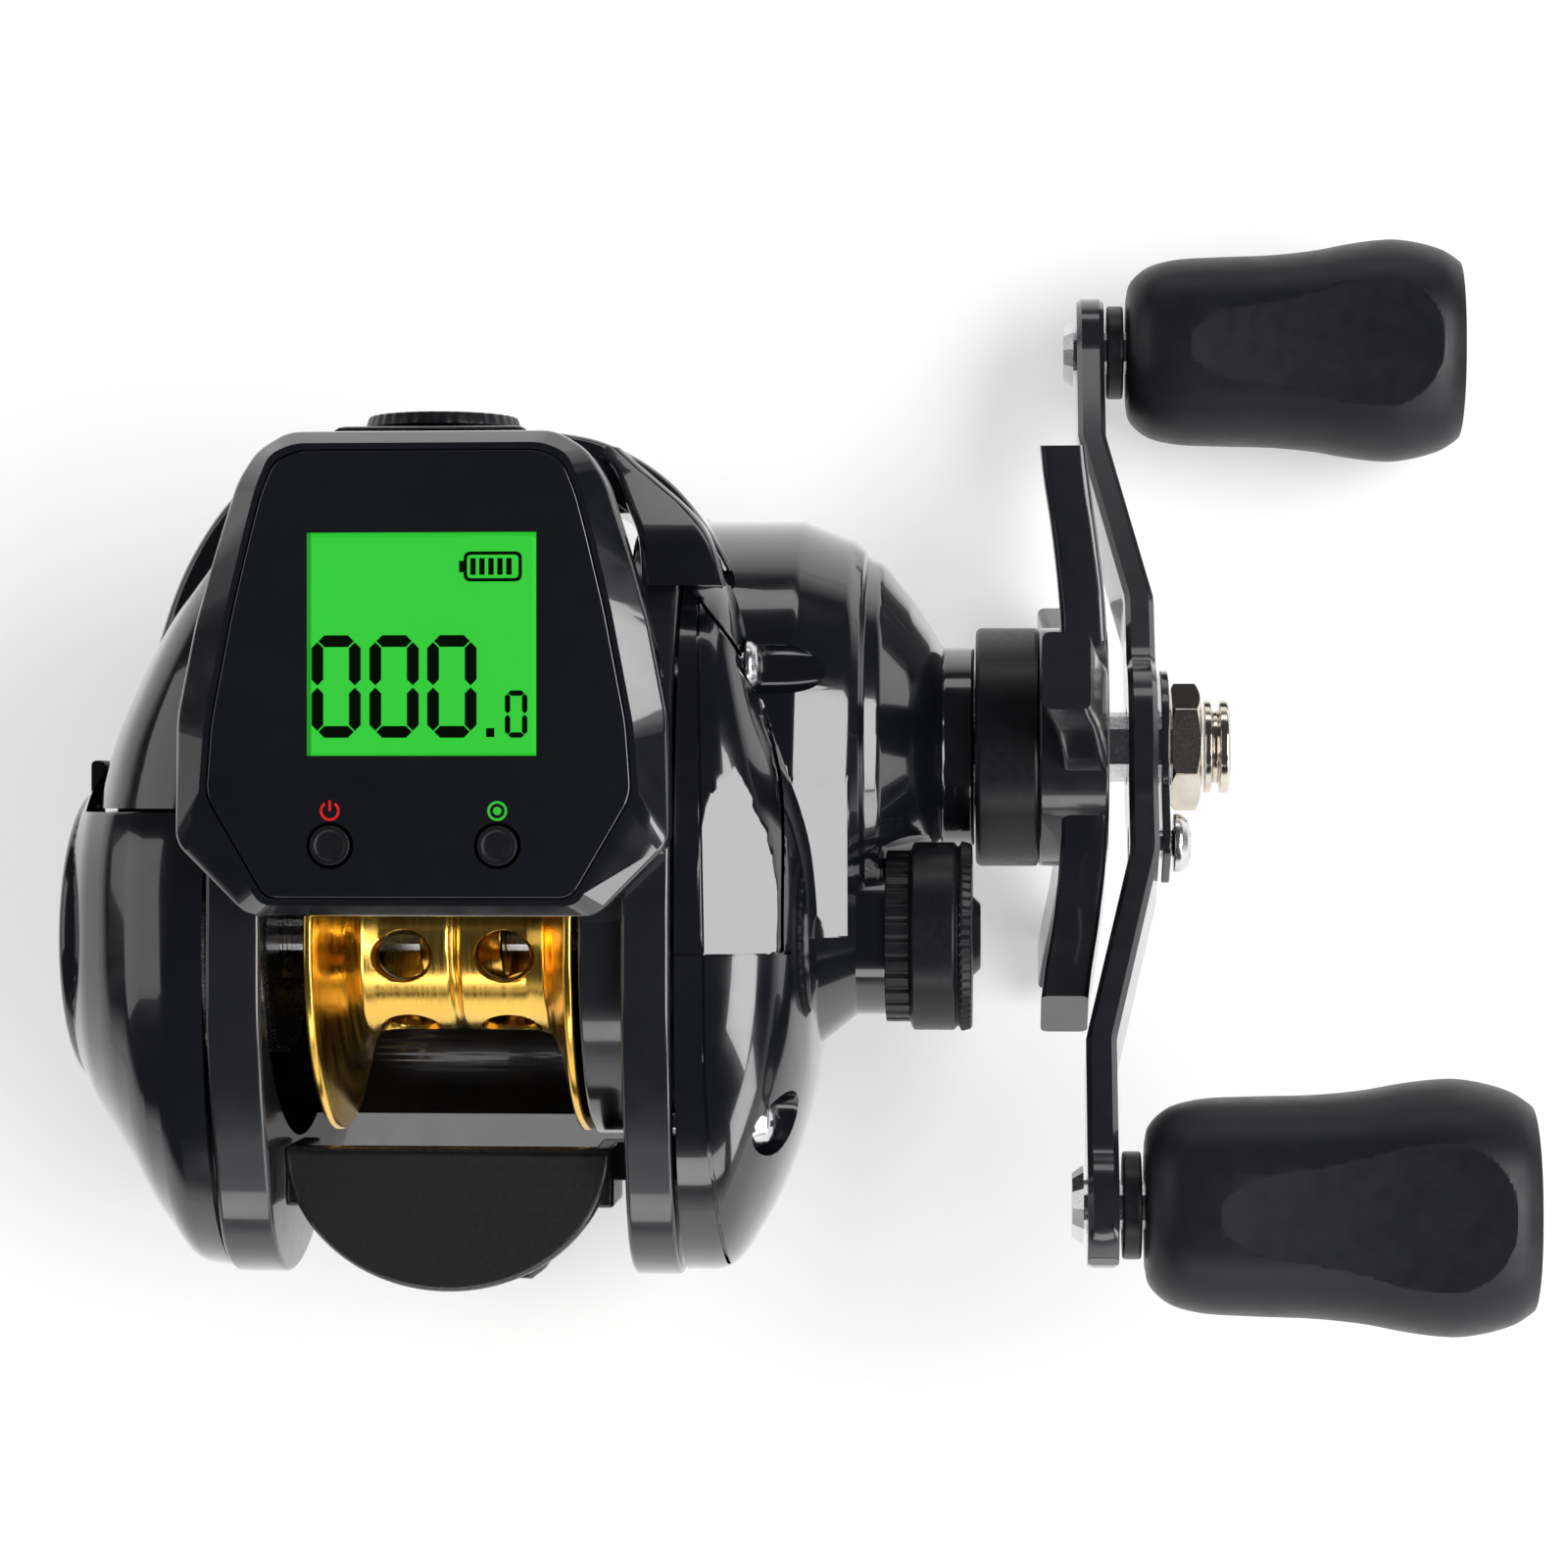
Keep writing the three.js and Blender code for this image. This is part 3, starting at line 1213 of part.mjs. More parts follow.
// Handle arm: its bent strip seen from the side, trimmed to its plan.
function makeHandleArm() {
  const [near, far] = [handleHubStart, handleHubEnd];
  const tip = knobCentre + handleEndRadius;
  const strip = (x, bentX) => [
    [bentX, -tip], [bentX, -handleBendEnd], [x, -handleHubHalf],
    [x, handleHubHalf], [bentX, handleBendEnd], [bentX, tip],
  ];
  const lower = strip(near, near - handleOffset);
  const upper = strip(far, far - handleOffset).reverse();
  const side = new THREE.Shape([...lower, ...upper].map(([x, d]) => new THREE.Vector2(x, d)));
  const settings = { depth: 2 * handleHubRadius, bevelEnabled: false };
  const bent = new THREE.ExtrudeGeometry(side, settings).translate(0, 0, -handleHubRadius);
  const past = [near - handleOffset - cutOverrun, far + cutOverrun];
  const atKnobs = (radius, sides) => [-1, 1].map(
    (end) => rod(...past, radius, sides).translate(0, end * knobCentre, 0),
  );
  const arm = block(past, [-knobCentre, knobCentre], [-handleHalfWidth, handleHalfWidth]);
  const hub = rod(...past, handleHubRadius, roundSides);
  const trimmed = common(bent, join(arm, hub, ...atKnobs(handleEndRadius, roundSides)));
  const shaftHole = rod(...past, driveShaftRadius + clearance);
  const pinHoles = atKnobs(knobShaftRadius + clearance, smallSides);
  const screwHole = rod(...past, screwShankRadius + clearance, boreSides).translate(0, -retainerScrewReach, 0);
  return cut(trimmed, shaftHole, screwHole, ...pinHoles);
}

const tongueShare = 0.62;
const discShare = 1.35;
function makeRetainer() {
  const end = retainerStart + retainerThickness;
  const tongueHalf = retainerHalfWidth * tongueShare;
  const tongue = block([retainerStart, end], [-retainerReach, 0], [-tongueHalf, tongueHalf]);
  const disc = rod(retainerStart, end, retainerHalfWidth * discShare, roundSides);
  const hole = rod(retainerStart - cutOverrun, end + cutOverrun, driveShaftRadius + clearance);
  const screwHole = rod(
    retainerStart - cutOverrun, end + cutOverrun, screwShankRadius + clearance, boreSides,
  ).translate(0, -retainerScrewReach, 0);
  return cut(join(tongue, disc), hole, screwHole);
}

function makeNut() {
  const corner = nutAcrossFlats / 2 / Math.cos(Math.PI / 6);
  const flats = circle(corner, 6, THREE.MathUtils.degToRad(nutTurn));
  const hex = slabAlongX(flats, nutStart, nutEnd, [[driveShaftRadius + clearance, 0, 0]]);
  const crown = turned([
    [nutStart - cutOverrun, 0], [nutStart - cutOverrun, corner], [nutEnd - nutChamfer, corner],
    [nutEnd, corner - 2 * nutChamfer], [nutEnd, 0],
  ], bigSides);
  return common(hex, crown);
}

const endCapShares = [[0, 1], [0.27, 1], [0.33, 0.78], [0.53, 0.78], [0.6, 1], [0.89, 1], [1, 0.94]];
function makeEndCap() {
  const start = nutEnd + clearance;
  const end = start + endCapHeight;
  return turned([[start, 0], ...alongShares(endCapShares, start, end, endCapRadius), [end, 0]]);
}

function makeRetainerScrew() {
  const head = retainerStart + retainerThickness + clearance + retainerScrewHead;
  return crossScrew(
    handleHubStart + clearance, head, retainerScrewHead, retainerScrewRadius, screwShankRadius,
  );
}

const pinLengthShare = 0.8;
function makeKnobShaft() {
  const inner = knobArmFace - handleThickness - clearance;
  const end = knobStart + knobLength * pinLengthShare;
  return turned([
    [inner - rivetThickness, 0], [inner - rivetThickness, rivetRadius * domeTopShare], [inner, rivetRadius],
    [inner, knobShaftRadius], [end, knobShaftRadius], [end, 0],
  ], smallSides);
}

function makeKnobCollar() {
  return ringAlong(
    knobCollarStart, knobCollarStart + knobCollarWidth, knobShaftRadius + clearance, knobCollarRadius,
  );
}

// Knob: oval across, waisted along. Shares of its length and of its widest radius.
const knobShares = [
  [0, 0.5], [0.01, 0.62], [0.06, 0.76], [0.14, 0.83], [0.28, 0.855], [0.44, 0.87], [0.57, 0.91],
  [0.66, 0.96], [0.75, 0.995], [0.81, 1], [0.89, 0.96], [0.95, 0.9], [0.985, 0.835], [1, 0.8],
];
function makeKnob() {
  const flatness = knobThickness / 2 / knobRadius;
  const grip = loft(alongShares(knobShares, knobStart, knobStart + knobLength, knobRadius).map(
    ([x, radius]) => oval(x, radius, radius, radius * flatness, radius * flatness),
  ));
  const boreEnd = knobStart + knobLength * pinLengthShare + clearance;
  return cut(grip, rod(knobStart - cutOverrun, boreEnd, knobShaftRadius + clearance));
}

// Worm shaft with one groove running each way.
const wormSteps = 36;
const wormSides = 12;
const grooveWidthShare = 0.12;
function makeWorm() {
  const rings = Array.from({ length: wormSteps + 1 }, (_, step) => {
    const along = step / wormSteps;
    return Array.from({ length: wormSides }, (_, i) => {
      const around = i / wormSides;
      const near = [1, -1].some((hand) => {
        const gap = Math.abs(((around + hand * along * wormTurns) % 1 + 1.5) % 1 - 0.5);
        return gap < grooveWidthShare / 2 + 1 / wormSides / 2;
      });
      const radius = wormRadius - (near ? wormGrooveDepth : 0);
      const angle = 2 * Math.PI * around;
      return new THREE.Vector3(
        (2 * along - 1) * wormHalfLength, radius * Math.cos(angle), radius * Math.sin(angle),
      );
    });
  });
  const journals = rod(
    -wormHalfLength - wormTailLength, windGearStart + windGearWidth + clearance, wormJournalRadius, boreSides,
  );
  return join(loft(rings), journals);
}

function makeLineGuide() {
  const body = block([-guideHalfWidth, guideHalfWidth], [-guideRear, guideFront], [-guideFootDrop, guideTop]);
  const wormBore = rod(-guideHalfWidth - cutOverrun, guideHalfWidth + cutOverrun, wormRadius + clearance);
  const barBore = rod(
    -guideHalfWidth - cutOverrun, guideHalfWidth + cutOverrun, guideBarRadius + clearance,
  ).translate(0, 0, -guideBarDrop);
  const eye = block(
    [-eyeHalfWidth, eyeHalfWidth], [-guideRear - cutOverrun, guideFront + cutOverrun], [eyeBottom, eyeTop],
  );
  const pawlBore = turnedForward([
    [0, 0], [0, pawlRadius + clearance],
    [guideFront + cutOverrun, pawlRadius + clearance], [guideFront + cutOverrun, 0],
  ], smallSides);
  return cut(body, wormBore, barBore, eye, pawlBore);
}

function makePawl() {
  const inner = wormRadius + clearance;
  const seat = guideFront + clearance;
  return turnedForward([
    [inner, 0], [inner, pawlRadius], [seat, pawlRadius], [seat, pawlHeadRadius],
    [seat + pawlHeadHeight, pawlHeadRadius * domeTopShare], [seat + pawlHeadHeight, 0],
  ], smallSides);
}

function makeGuideBar() {
  return rod(-leftWallOuter, rightWallOuter, guideBarRadius).translate(0, 0, -guideBarDrop);
}

// Thumb bar: a half-round pad with a cheek at each side and an arm through the wall to the cam.
const thumbArcSteps = 14;
function makeThumbBar() {
  const arc = Array.from({ length: thumbArcSteps + 1 }, (_, i) => {
    const angle = (Math.PI * i) / thumbArcSteps;
    const v = thumbFront + (thumbRear - thumbFront) * Math.sin(angle);
    return new THREE.Vector2(-thumbHalfWidth * Math.cos(angle), v);
  });
  const pad = slabUp(arc, thumbTop - thumbThickness, thumbTop);
  const cheeks = [-1, 1].map((side) => block(
    [side * thumbHalfWidth, side * (thumbHalfWidth - cheekThickness)].sort((a, b) => a - b),
    [thumbFront - cheekLength, thumbFront], [cheekBottom, thumbTop - thumbThickness / 2],
  ));
  const arm = block(
    [thumbHalfWidth - cheekThickness, coverStart + clearance / 2],
    [thumbFront - thumbArmLength, thumbFront], [cheekBottom, cheekBottom + thumbArmHeight],
  );
  return join(pad, ...cheeks, arm);
}

function makeCam() {
  const plateIn = coverStart + clearance;
  const rear = thumbFront - thumbArmLength;
  const armTop = cheekBottom + thumbArmHeight;
  const outline = [
    [rear, -camDrop], [rear + camReach, -camDrop], [rear + camReach, camHeight / 2 - camDrop],
    [rear + camReach - camHeight, camHeight - camDrop], [thumbFront, camHeight - camDrop],
    [thumbFront, armTop], [rear, armTop],
  ].map(([v, w]) => new THREE.Vector2(v, w));
  return slabAlongX(outline, plateIn, plateIn + camThickness);
}

function makeYoke() {
  const start = pinionSeat + clearance;
  const end = start + yokeThickness;
  const disc = rod(start, end, yokeRadius, roundSides);
  const ears = block([start, end], [-yokeEarWidth / 2, yokeEarWidth / 2], [-yokeEarReach, yokeEarReach]);
  const throat = rod(start - cutOverrun, end + cutOverrun, pinionGrooveRadius + clearance);
  const gate = block(
    [start - cutOverrun, end + cutOverrun], [0, yokeRadius + cutOverrun],
    [-pinionGrooveRadius - clearance, pinionGrooveRadius + clearance],
  );
  return cut(join(disc, ears), throat, gate);
}

// Body of the reel
piece(deck, 'frame', makeFrame(), blackMetal);
piece(reel, 'reel_foot', makeFoot(), glossBlack);
['foot_screw_front', 'foot_screw_rear'].forEach((name, i) => {
  piece(reel, name, makeFootScrew(), steel).position.set(0, footScrewPlaces[i], screwHeadRecess);
});
piece(deck, 'palm_side_cover', makePalmCover(), glossBlack);
piece(deck, 'brake_dial', makeBrakeDial(), glossBlack);
piece(deck, 'brake_magnet_ring', makeMagnetRing(), steel);
piece(deck, 'spool_bearing_left', bearing(-magnetSeat - bearingWidth, shaftRadius), steel);
piece(deck, 'cover_lock_lever', makeLockLever(), satinBlack);
piece(deck, 'handle_side_cover', makeSideCover(), glossBlack);
Object.entries(coverScrewPlaces).forEach(([name, [v, w]]) => {
  const screw = crossScrew(
    rightWallInner + cutOverrun, coverScrewHead + clearance,
    screwHeadHeight, screwHeadRadius, screwShankRadius,
  );
  piece(deck, name, screw, steel).position.set(0, v, w);
});
piece(deck, 'spool_bearing_right', bearing(rightBearingStart, shaftThinRadius), steel);
piece(deck, 'tension_knob', makeTensionKnob(), satinBlack);
piece(deck, 'front_hood', makeHood(), glossBlack);

// Line counter
piece(deck, 'display_housing', makePod(), glossBlack);
piece(deck, 'display_face', makeFace(), glossBlack);
piece(deck, 'lcd_panel', makeLcd(), litGreen);
piece(deck, 'circuit_board', makeBoard(), greenBoard);
Object.entries(buttonPlaces).forEach(([name, x]) => {
  piece(deck, name, makeButton(), satinBlack).position.set(x, buttonForward, 0);
});
piece(deck, 'coin_cell', makeCell(), steel).position.set(0, 0, batteryHeight);
piece(deck, 'battery_cap', makeBatteryCap(), glossBlack).position.set(0, 0, batteryHeight);

// Spool and clutch
piece(deck, 'spool', makeSpool(), gold);
piece(deck, 'spool_shaft', makeSpoolShaft(), steel);
piece(deck, 'brake_rotor', makeBrakeRotor(), steel);
piece(deck, 'pinion_gear', makePinion(), brass);
piece(deck, 'clutch_yoke', makeYoke(), steel);
piece(deck, 'thumb_bar', makeThumbBar(), carbonFibre);
piece(deck, 'clutch_cam', makeCam(), steel);

// Drive train
piece(driveAxis, 'drive_shaft', makeDriveShaft(), steel);
piece(driveAxis, 'levelwind_drive_gear', makeWindDriveGear(), acetal);
piece(driveAxis, 'ratchet_wheel', makeRatchet(), steel);
piece(driveAxis, 'main_gear', makeMainGear(), brass);
piece(driveAxis, 'drag_washer', makeWasher(washerStart), carbonFibre);
piece(driveAxis, 'drag_plate', makeWasher(plateStart), steel);
piece(driveAxis, 'clutch_sleeve', makeSleeve(), steel);
piece(driveAxis, 'anti_reverse_bearing', makeRollerBearing(), steel);
piece(driveAxis, 'drag_collar', makeDragCollar(), satinBlack);
piece(driveAxis, 'drag_spring_washer', makeSpringWasher(), steel);
piece(driveAxis, 'star_drag', makeStar(), blackMetal);

// Handle
piece(handleAxis, 'handle_arm', makeHandleArm(), blackMetal);
piece(handleAxis, 'nut_retainer', makeRetainer(), blackMetal);
piece(handleAxis, 'retainer_screw', makeRetainerScrew(), steel).position.set(0, -retainerScrewReach, 0);
piece(handleAxis, 'handle_nut', makeNut(), nickel);
piece(handleAxis, 'axle_end_cap', makeEndCap(), nickel);
[['front', 1], ['rear', -1]].forEach(([end, side]) => {
  const knobAxis = new THREE.Group();
  knobAxis.position.set(0, side * knobCentre, 0);
  knobAxis.rotation.x = -handleAxis.rotation.x;
  handleAxis.add(knobAxis);
  piece(knobAxis, `knob_shaft_${end}`, makeKnobShaft(), steel);
  piece(knobAxis, `knob_collar_${end}`, makeKnobCollar(), satinBlack);
  piece(knobAxis, `handle_knob_${end}`, makeKnob(), rubber);
});

// Line winding
piece(wormAxis, 'worm_shaft', makeWorm(), steel);
piece(wormAxis, 'worm_gear', makeWormGear(), acetal);
piece(wormAxis, 'line_guide', makeLineGuide(), satinBlack);
piece(wormAxis, 'line_guide_pawl', makePawl(), brass);
piece(wormAxis, 'guide_bar', makeGuideBar(), steel);

export default reel;
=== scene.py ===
"""Looks of a digital baitcasting reel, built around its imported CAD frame."""

import json
import math

import bmesh
import bpy
from mathutils import Matrix, Vector

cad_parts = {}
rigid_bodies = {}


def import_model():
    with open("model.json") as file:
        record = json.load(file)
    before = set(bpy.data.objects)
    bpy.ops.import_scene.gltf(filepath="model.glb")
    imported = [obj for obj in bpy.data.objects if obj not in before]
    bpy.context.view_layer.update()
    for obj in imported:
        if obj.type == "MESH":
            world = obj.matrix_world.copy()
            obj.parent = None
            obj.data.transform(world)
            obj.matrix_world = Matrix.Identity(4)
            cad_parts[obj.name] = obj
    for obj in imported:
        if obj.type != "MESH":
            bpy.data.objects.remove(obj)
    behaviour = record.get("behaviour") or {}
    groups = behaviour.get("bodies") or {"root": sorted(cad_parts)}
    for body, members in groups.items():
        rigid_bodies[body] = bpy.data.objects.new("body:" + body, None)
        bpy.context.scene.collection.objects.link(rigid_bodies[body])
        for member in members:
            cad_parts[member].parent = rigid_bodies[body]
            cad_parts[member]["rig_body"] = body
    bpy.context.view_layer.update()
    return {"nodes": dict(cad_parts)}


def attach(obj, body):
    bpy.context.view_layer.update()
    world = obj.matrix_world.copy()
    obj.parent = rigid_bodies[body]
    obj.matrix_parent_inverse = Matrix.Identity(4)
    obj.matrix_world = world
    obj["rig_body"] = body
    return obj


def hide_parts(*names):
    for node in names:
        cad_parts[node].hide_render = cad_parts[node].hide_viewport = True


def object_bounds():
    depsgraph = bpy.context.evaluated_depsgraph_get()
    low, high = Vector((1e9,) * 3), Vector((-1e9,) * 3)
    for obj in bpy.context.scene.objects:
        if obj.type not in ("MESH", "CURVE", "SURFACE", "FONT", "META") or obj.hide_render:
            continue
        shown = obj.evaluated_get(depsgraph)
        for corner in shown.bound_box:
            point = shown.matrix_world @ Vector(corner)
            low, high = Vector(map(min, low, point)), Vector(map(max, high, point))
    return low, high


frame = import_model()

# Shapes are drawn in millimetres in the deck frame: x to the handle, v forward, w up, both leaning back
# with the display, and the spool axis at v = w = 0. MM brings them to metres.
MM = 0.001
SPOOL_HEIGHT = 25
DECK_TILT = math.radians(15)
HANDLE_TURN = math.radians(-33)
DRIVE_V = 16
DRIVE_W = -9.25
WORM_REACH = 13
UPRIGHT = Matrix.Scale(MM, 4)
DECK = UPRIGHT @ Matrix.Translation((0, 0, SPOOL_HEIGHT)) @ Matrix.Rotation(DECK_TILT, 4, "X")
DRIVE = DECK @ Matrix.Translation((0, DRIVE_V, DRIVE_W))
HANDLE = DRIVE @ Matrix.Rotation(HANDLE_TURN, 4, "X")
WORM = DECK @ Matrix.Translation((0, DRIVE_V + WORM_REACH, DRIVE_W))
X_TO_W = Matrix.Rotation(-math.pi / 2, 4, "Y")
X_TO_V = Matrix.Rotation(math.pi / 2, 4, "Z")
SWAP_VW = Matrix(((1, 0, 0, 0), (0, 0, 1, 0), (0, 1, 0, 0), (0, 0, 0, 1)))

# Gaps and roundings
GAP = 0.3
PAST = 1
KEEN_EDGE = 0.08
THIN_EDGE = 0.1
FINE_EDGE = 0.15
EDGE = 0.35
SOFT_EDGE = 0.9
SHELL_WALL = 1.6
OVAL_FULLNESS = 0.8

# Numbers of sides, and angles between faces that count as sharp or flat
KNURL_SIDES = 360
BIG_SIDES = 144
ROUND_SIDES = 96
SMALL_SIDES = 48
EASE_STEPS = 4
SUPPORT_SHARE = 1.15
REACH_SHARE = 0.42
SHARP_ANGLE = math.radians(32)
FLAT_ANGLE = math.radians(0.4)
EDGE_TURNS = (0, 0.4, 0.8, 1.2, math.pi / 2)

# Points nearer than these are made one, and a smaller radius is a point on the axis
WELD = 1e-3
FINE_WELD = 1e-4
AXIS_RADIUS = 1e-6

# Screws: the crown and the cross are shares of the head's height and radius
SCREW_HEAD_RADIUS = 2
SCREW_HEAD_HEIGHT = 1.2
SCREW_SHANK = 1.1
SCREW_EDGE = 0.2
SCREW_CROWN = [(0.62, 1), (0.15, 0.78), (0, 0.4)]
SCREW_CROSS = (0.62, 0.13, 0.5)

# Spool
SPOOL_RADIUS = 16.5
SPOOL_HALF = 10.9
SPOOL_FLARE = (0.3, 0.35)
SPOOL_EDGE = 0.3
FLANGE = 1.1
FLANGE_LIP = 0.7
ARBOR_RADIUS = 8
ARBOR_HALF = 8.2
ARBOR_WALL = 1.2
ARBOR_GROOVE = 0.5
HUB_RADIUS = 3.6
HUB_HALF = 3.5
WEB_HALF = 1
SHAFT_RADIUS = 1.5
SHAFT_THIN_RADIUS = 1
DRILL_RADIUS = 2.15
DRILL_OFFSET = 4.2
DRILL_COUNTERSINK = 0.55
DRILLS = 6
DRILL_TURN = math.radians(11)

# Frame
LEFT_INNER = 14
LEFT_OUTER = 18.5
RIGHT_INNER = 15
RIGHT_OUTER = 19
BODY_REAR = 28
BODY_FRONT = 35
BODY_TOP = 18.3
BODY_BOTTOM = 21
OPENING_RADIUS = 17
SPOOL_RING = (11.4, 12, 16.7)
BRIDGE_RADIUS = 20.4
BRIDGE_SWEEP = (math.radians(-158), math.radians(-42))
BODY_OUTLINE = [
    (-1, 0.27), (-0.9, 0.62), (-0.62, 0.83), (-0.28, 0.98), (0.08, 1), (0.4, 0.93), (0.7, 0.72),
    (0.93, 0.42), (1, -0.2), (0.97, -0.62), (0.75, -0.9), (0.4, -0.99), (0, -1), (-0.42, -0.88),
    (-0.76, -0.58), (-0.96, -0.14),
]
FOOT_PAD = (7.5, 9, 6.5)
FRONT_BAR = ((20, 25), (-19, -16.6))
SHAFT_HOLE = 3.2
DRIVE_HOLE = 2.8
WORM_SEAT = 3.1
THUMB_SLOT = (3.5, (-1.8, 5.8))

# Foot
FOOT_LENGTH = 52
FOOT_WIDTH = 16
FOOT_THICK = 2.2
FOOT_TIP = 1
FOOT_SLOPE = 0.55
FOOT_RISE = 4
FOOT_STEM = (6.5, 8.5, 2)
FOOT_SCREWS = {"foot_screw_front": 5.5, "foot_screw_rear": -5.5}
FOOT_SCREW_SUNK = 0.2
FOOT_SECTIONS = [
    (-1, 0.42, 0), (-0.94, 0.62, 0.15), (-0.72, 0.84, 0.5), (-0.4, 1, 1),
    (0.4, 1, 1), (0.72, 0.84, 0.5), (0.94, 0.62, 0.15), (1, 0.42, 0),
]

# Palm side cover: share of its reach, then of its reach to the rear, front, top and bottom
PALM_START = LEFT_OUTER + GAP
PALM_REACH = 13.7
PALM_END = PALM_START + PALM_REACH
PALM_FRONT = 17
PALM_SECTIONS = [
    (0, 1, 1, 1, 1), (0.22, 0.985, 1, 0.985, 0.97), (0.44, 0.83, 0.985, 0.94, 0.92),
    (0.63, 0.66, 0.96, 0.86, 0.83), (0.8, 0.54, 0.86, 0.75, 0.72), (0.92, 0.43, 0.71, 0.62, 0.6),
    (1, 0.33, 0.52, 0.5, 0.47),
]
PALM_CREASE = 0.07
PALM_BOSS_RADIUS = 4.5
PALM_RIM_RADIUS = 12.4
PALM_RIM = (PALM_END - 3.4, PALM_END - 0.4)
BEARING_RADIUS = 3
MAGNET_SEAT = LEFT_INNER + 1.2
DIAL_RADIUS = 6.6
DIAL_THICK = 1.5
DIAL_CHAMFER = 0.85
DIAL_STEM = 2
DIAL_STEM_LENGTH = 6
DIAL_GROOVES = (24, 0.12, 0.2)
DIAL_RIB = (0.5, 0.8, 0.8, 0.25)
LEVER = (13, -3)
LEVER_RADIUS = 1.8
LEVER_LENGTH = 6
LEVER_THICK = 1.2
LEVER_RECESS = 0.9
LEVER_CORNER = 0.8

# Handle side cover, with sections like the palm cover's, and its gear box: places along x and shares of
# its radius
COVER_START = RIGHT_OUTER + GAP
COVER_REACH = 11
COVER_FRONT = 31
COVER_SECTIONS = [
    (0, 1, 1, 1, 1), (0.33, 0.985, 0.96, 0.985, 0.97), (0.6, 0.84, 0.72, 0.93, 0.92),
    (0.8, 0.67, 0.52, 0.82, 0.8), (0.93, 0.5, 0.38, 0.66, 0.66), (1, 0.33, 0.26, 0.48, 0.45),
]
GEAR_BOX_RADIUS = 19.6
GEAR_BOX_STEP = 33.7
GEAR_BOX_RIM = 35.2
GEAR_BOX_NECK = 40.3
GEAR_BOX_END = 43
GEAR_BOX_SHAPE = [
    (28.3, 1), (32.7, 0.91), (GEAR_BOX_STEP, 0.87), (GEAR_BOX_STEP + FINE_EDGE, 0.84), (GEAR_BOX_RIM, 0.81),
    (37.6, 0.66), (39.3, 0.53),
]
NECK_RADIUS = 8.6
GEAR_ROOM = 18
GEAR_ROOM_SHAPE = [(29.2, 1), (32.2, 0.93), (33.6, 0.75), (GEAR_BOX_RIM, 0.55)]
BEARING_SEAT = 36.4
ROLLER_RADIUS = 6.4
CLUTCH_ROOM_END = 23.9
CLUTCH_ROOM = ((-20.8, 0), (-6.6, 6.1))
YOKE_ROOM = ((-2.8, 2.8), (-9.6, 9.6))
PINION_ROOM = (31.3, 6.2)
SADDLE_TURN = math.radians(3)
SADDLE_REAR = 0.3
SEAM = 0.25
SEAM_DEPTH = 0.35
PLATE_SEAMS = [
    [(20.6, 28), (21.2, 15.9), (21.6, -0.8)],
    [(20.6, 28), (24.4, 22.9), (26.6, 16.8), (27.6, 11.7), (27.8, -0.8)],
    [(19.3, -0.8), (28.4, -0.8)],
    [(21.6, -0.8), (21.8, -14), (22.8, -27)],
]
PLATE_REAR = -0.8
PLATE_LEFT = (21.5, 17.9)
PLATE_FALL = (0.385, 0.04)
TENSION_BOSS_RADIUS = 6.6
TENSION_BOSS_END = 40.2
TENSION_FLARE = [(29.3, 9.8), (33.3, 6.6)]
RIGHT_BEARING_START = 31.9

# Cover screws: place in v and w, radius of the counterbore, and how far the head stands out of its seat
COVER_SCREWS = {
    "cover_screw_upper": ((22.5, 10), 2.3, 0.3),
    "cover_screw_rear": ((-14.7, 12), 2.7, 1.5),
    "cover_screw_lower": ((-9, -14.6), 2.3, 0.3),
}
COVER_SCREW_TIP = 16
COVER_SCREW_HEAD = 25.4
COUNTERBORE_SHAPE = [(0, 1), (0.22, 1), (0.5, 0.95), (0.74, 0.76), (0.9, 0.48), (1, 0.12)]
COUNTERBORE_END = 33.4

# Tension knob
TENSION_START = 35.7
TENSION_FLUTE_END = 37.7
TENSION_RIM = 41.4
TENSION_END = 42.9
TENSION_FLUTE_RADIUS = 7.2
TENSION_RADIUS = 7.9
TENSION_GROOVE = 0.95
TENSION_FACE = 0.97
TENSION_DOME = (3.4, 0.7, 0.8)
TENSION_SEAT = 40.6
TENSION_FLUTES = (30, 0.22)
TENSION_RIDGES = (60, 0.1)

# Front hood
HOOD_TOP = 6
HOOD_BOTTOM = -12
HOOD_FRONT = 42.4
HOOD_HALF = 28.4
HOOD_RIGHT_REAR = 30.5
HOOD_OUTER = [(0.95, 0.2), (0.9, 0.4), (0.8, 0.65), (0.64, 0.85), (0.46, 0.955), (0.3, 0.99), (0, 1)]
HOOD_INNER = [(0.66, 0.45), (0.58, 0.62), (0.52, 0.73), (0.44, 0.79), (0.3, 0.8), (0, 0.8)]
SHOULDER_REAR = 10.8
SHOULDER_TOP = 16.8
SHOULDER_REACH = 30.1
SHOULDER_STATIONS = [
    (0, 1, 0.95), (0.165, 0.955, 0.95), (0.325, 0.885, 0.91), (0.48, 0.805, 0.81), (0.64, 0.7, 0.65),
    (0.78, 0.6, 0.48),
]
SHOULDER_CORNERS = [(0, 0), (1, 0), (1, 0.35), (0.95, 0.6), (0.83, 0.8), (0.65, 0.92), (0.4, 0.99), (0, 1)]
SHOULDER_EASE = 2.2
HOOD_ARM_STATIONS = [
    (0.573, 0.57, 0.81, 0.667, 0.786), (0.684, 0.556, 0.771, 0.53, 0.68),
    (0.785, 0.514, 0.69, 0.18, 0.554), (0.88, 0.465, 0.57, 0.18, 0.43), (0.95, 0.39, 0.48, 0.18, 0.345),
]
HOOD_ARM_EASE = 0.8
WINDOW = (12.5, -9.5, 0.3, 2)

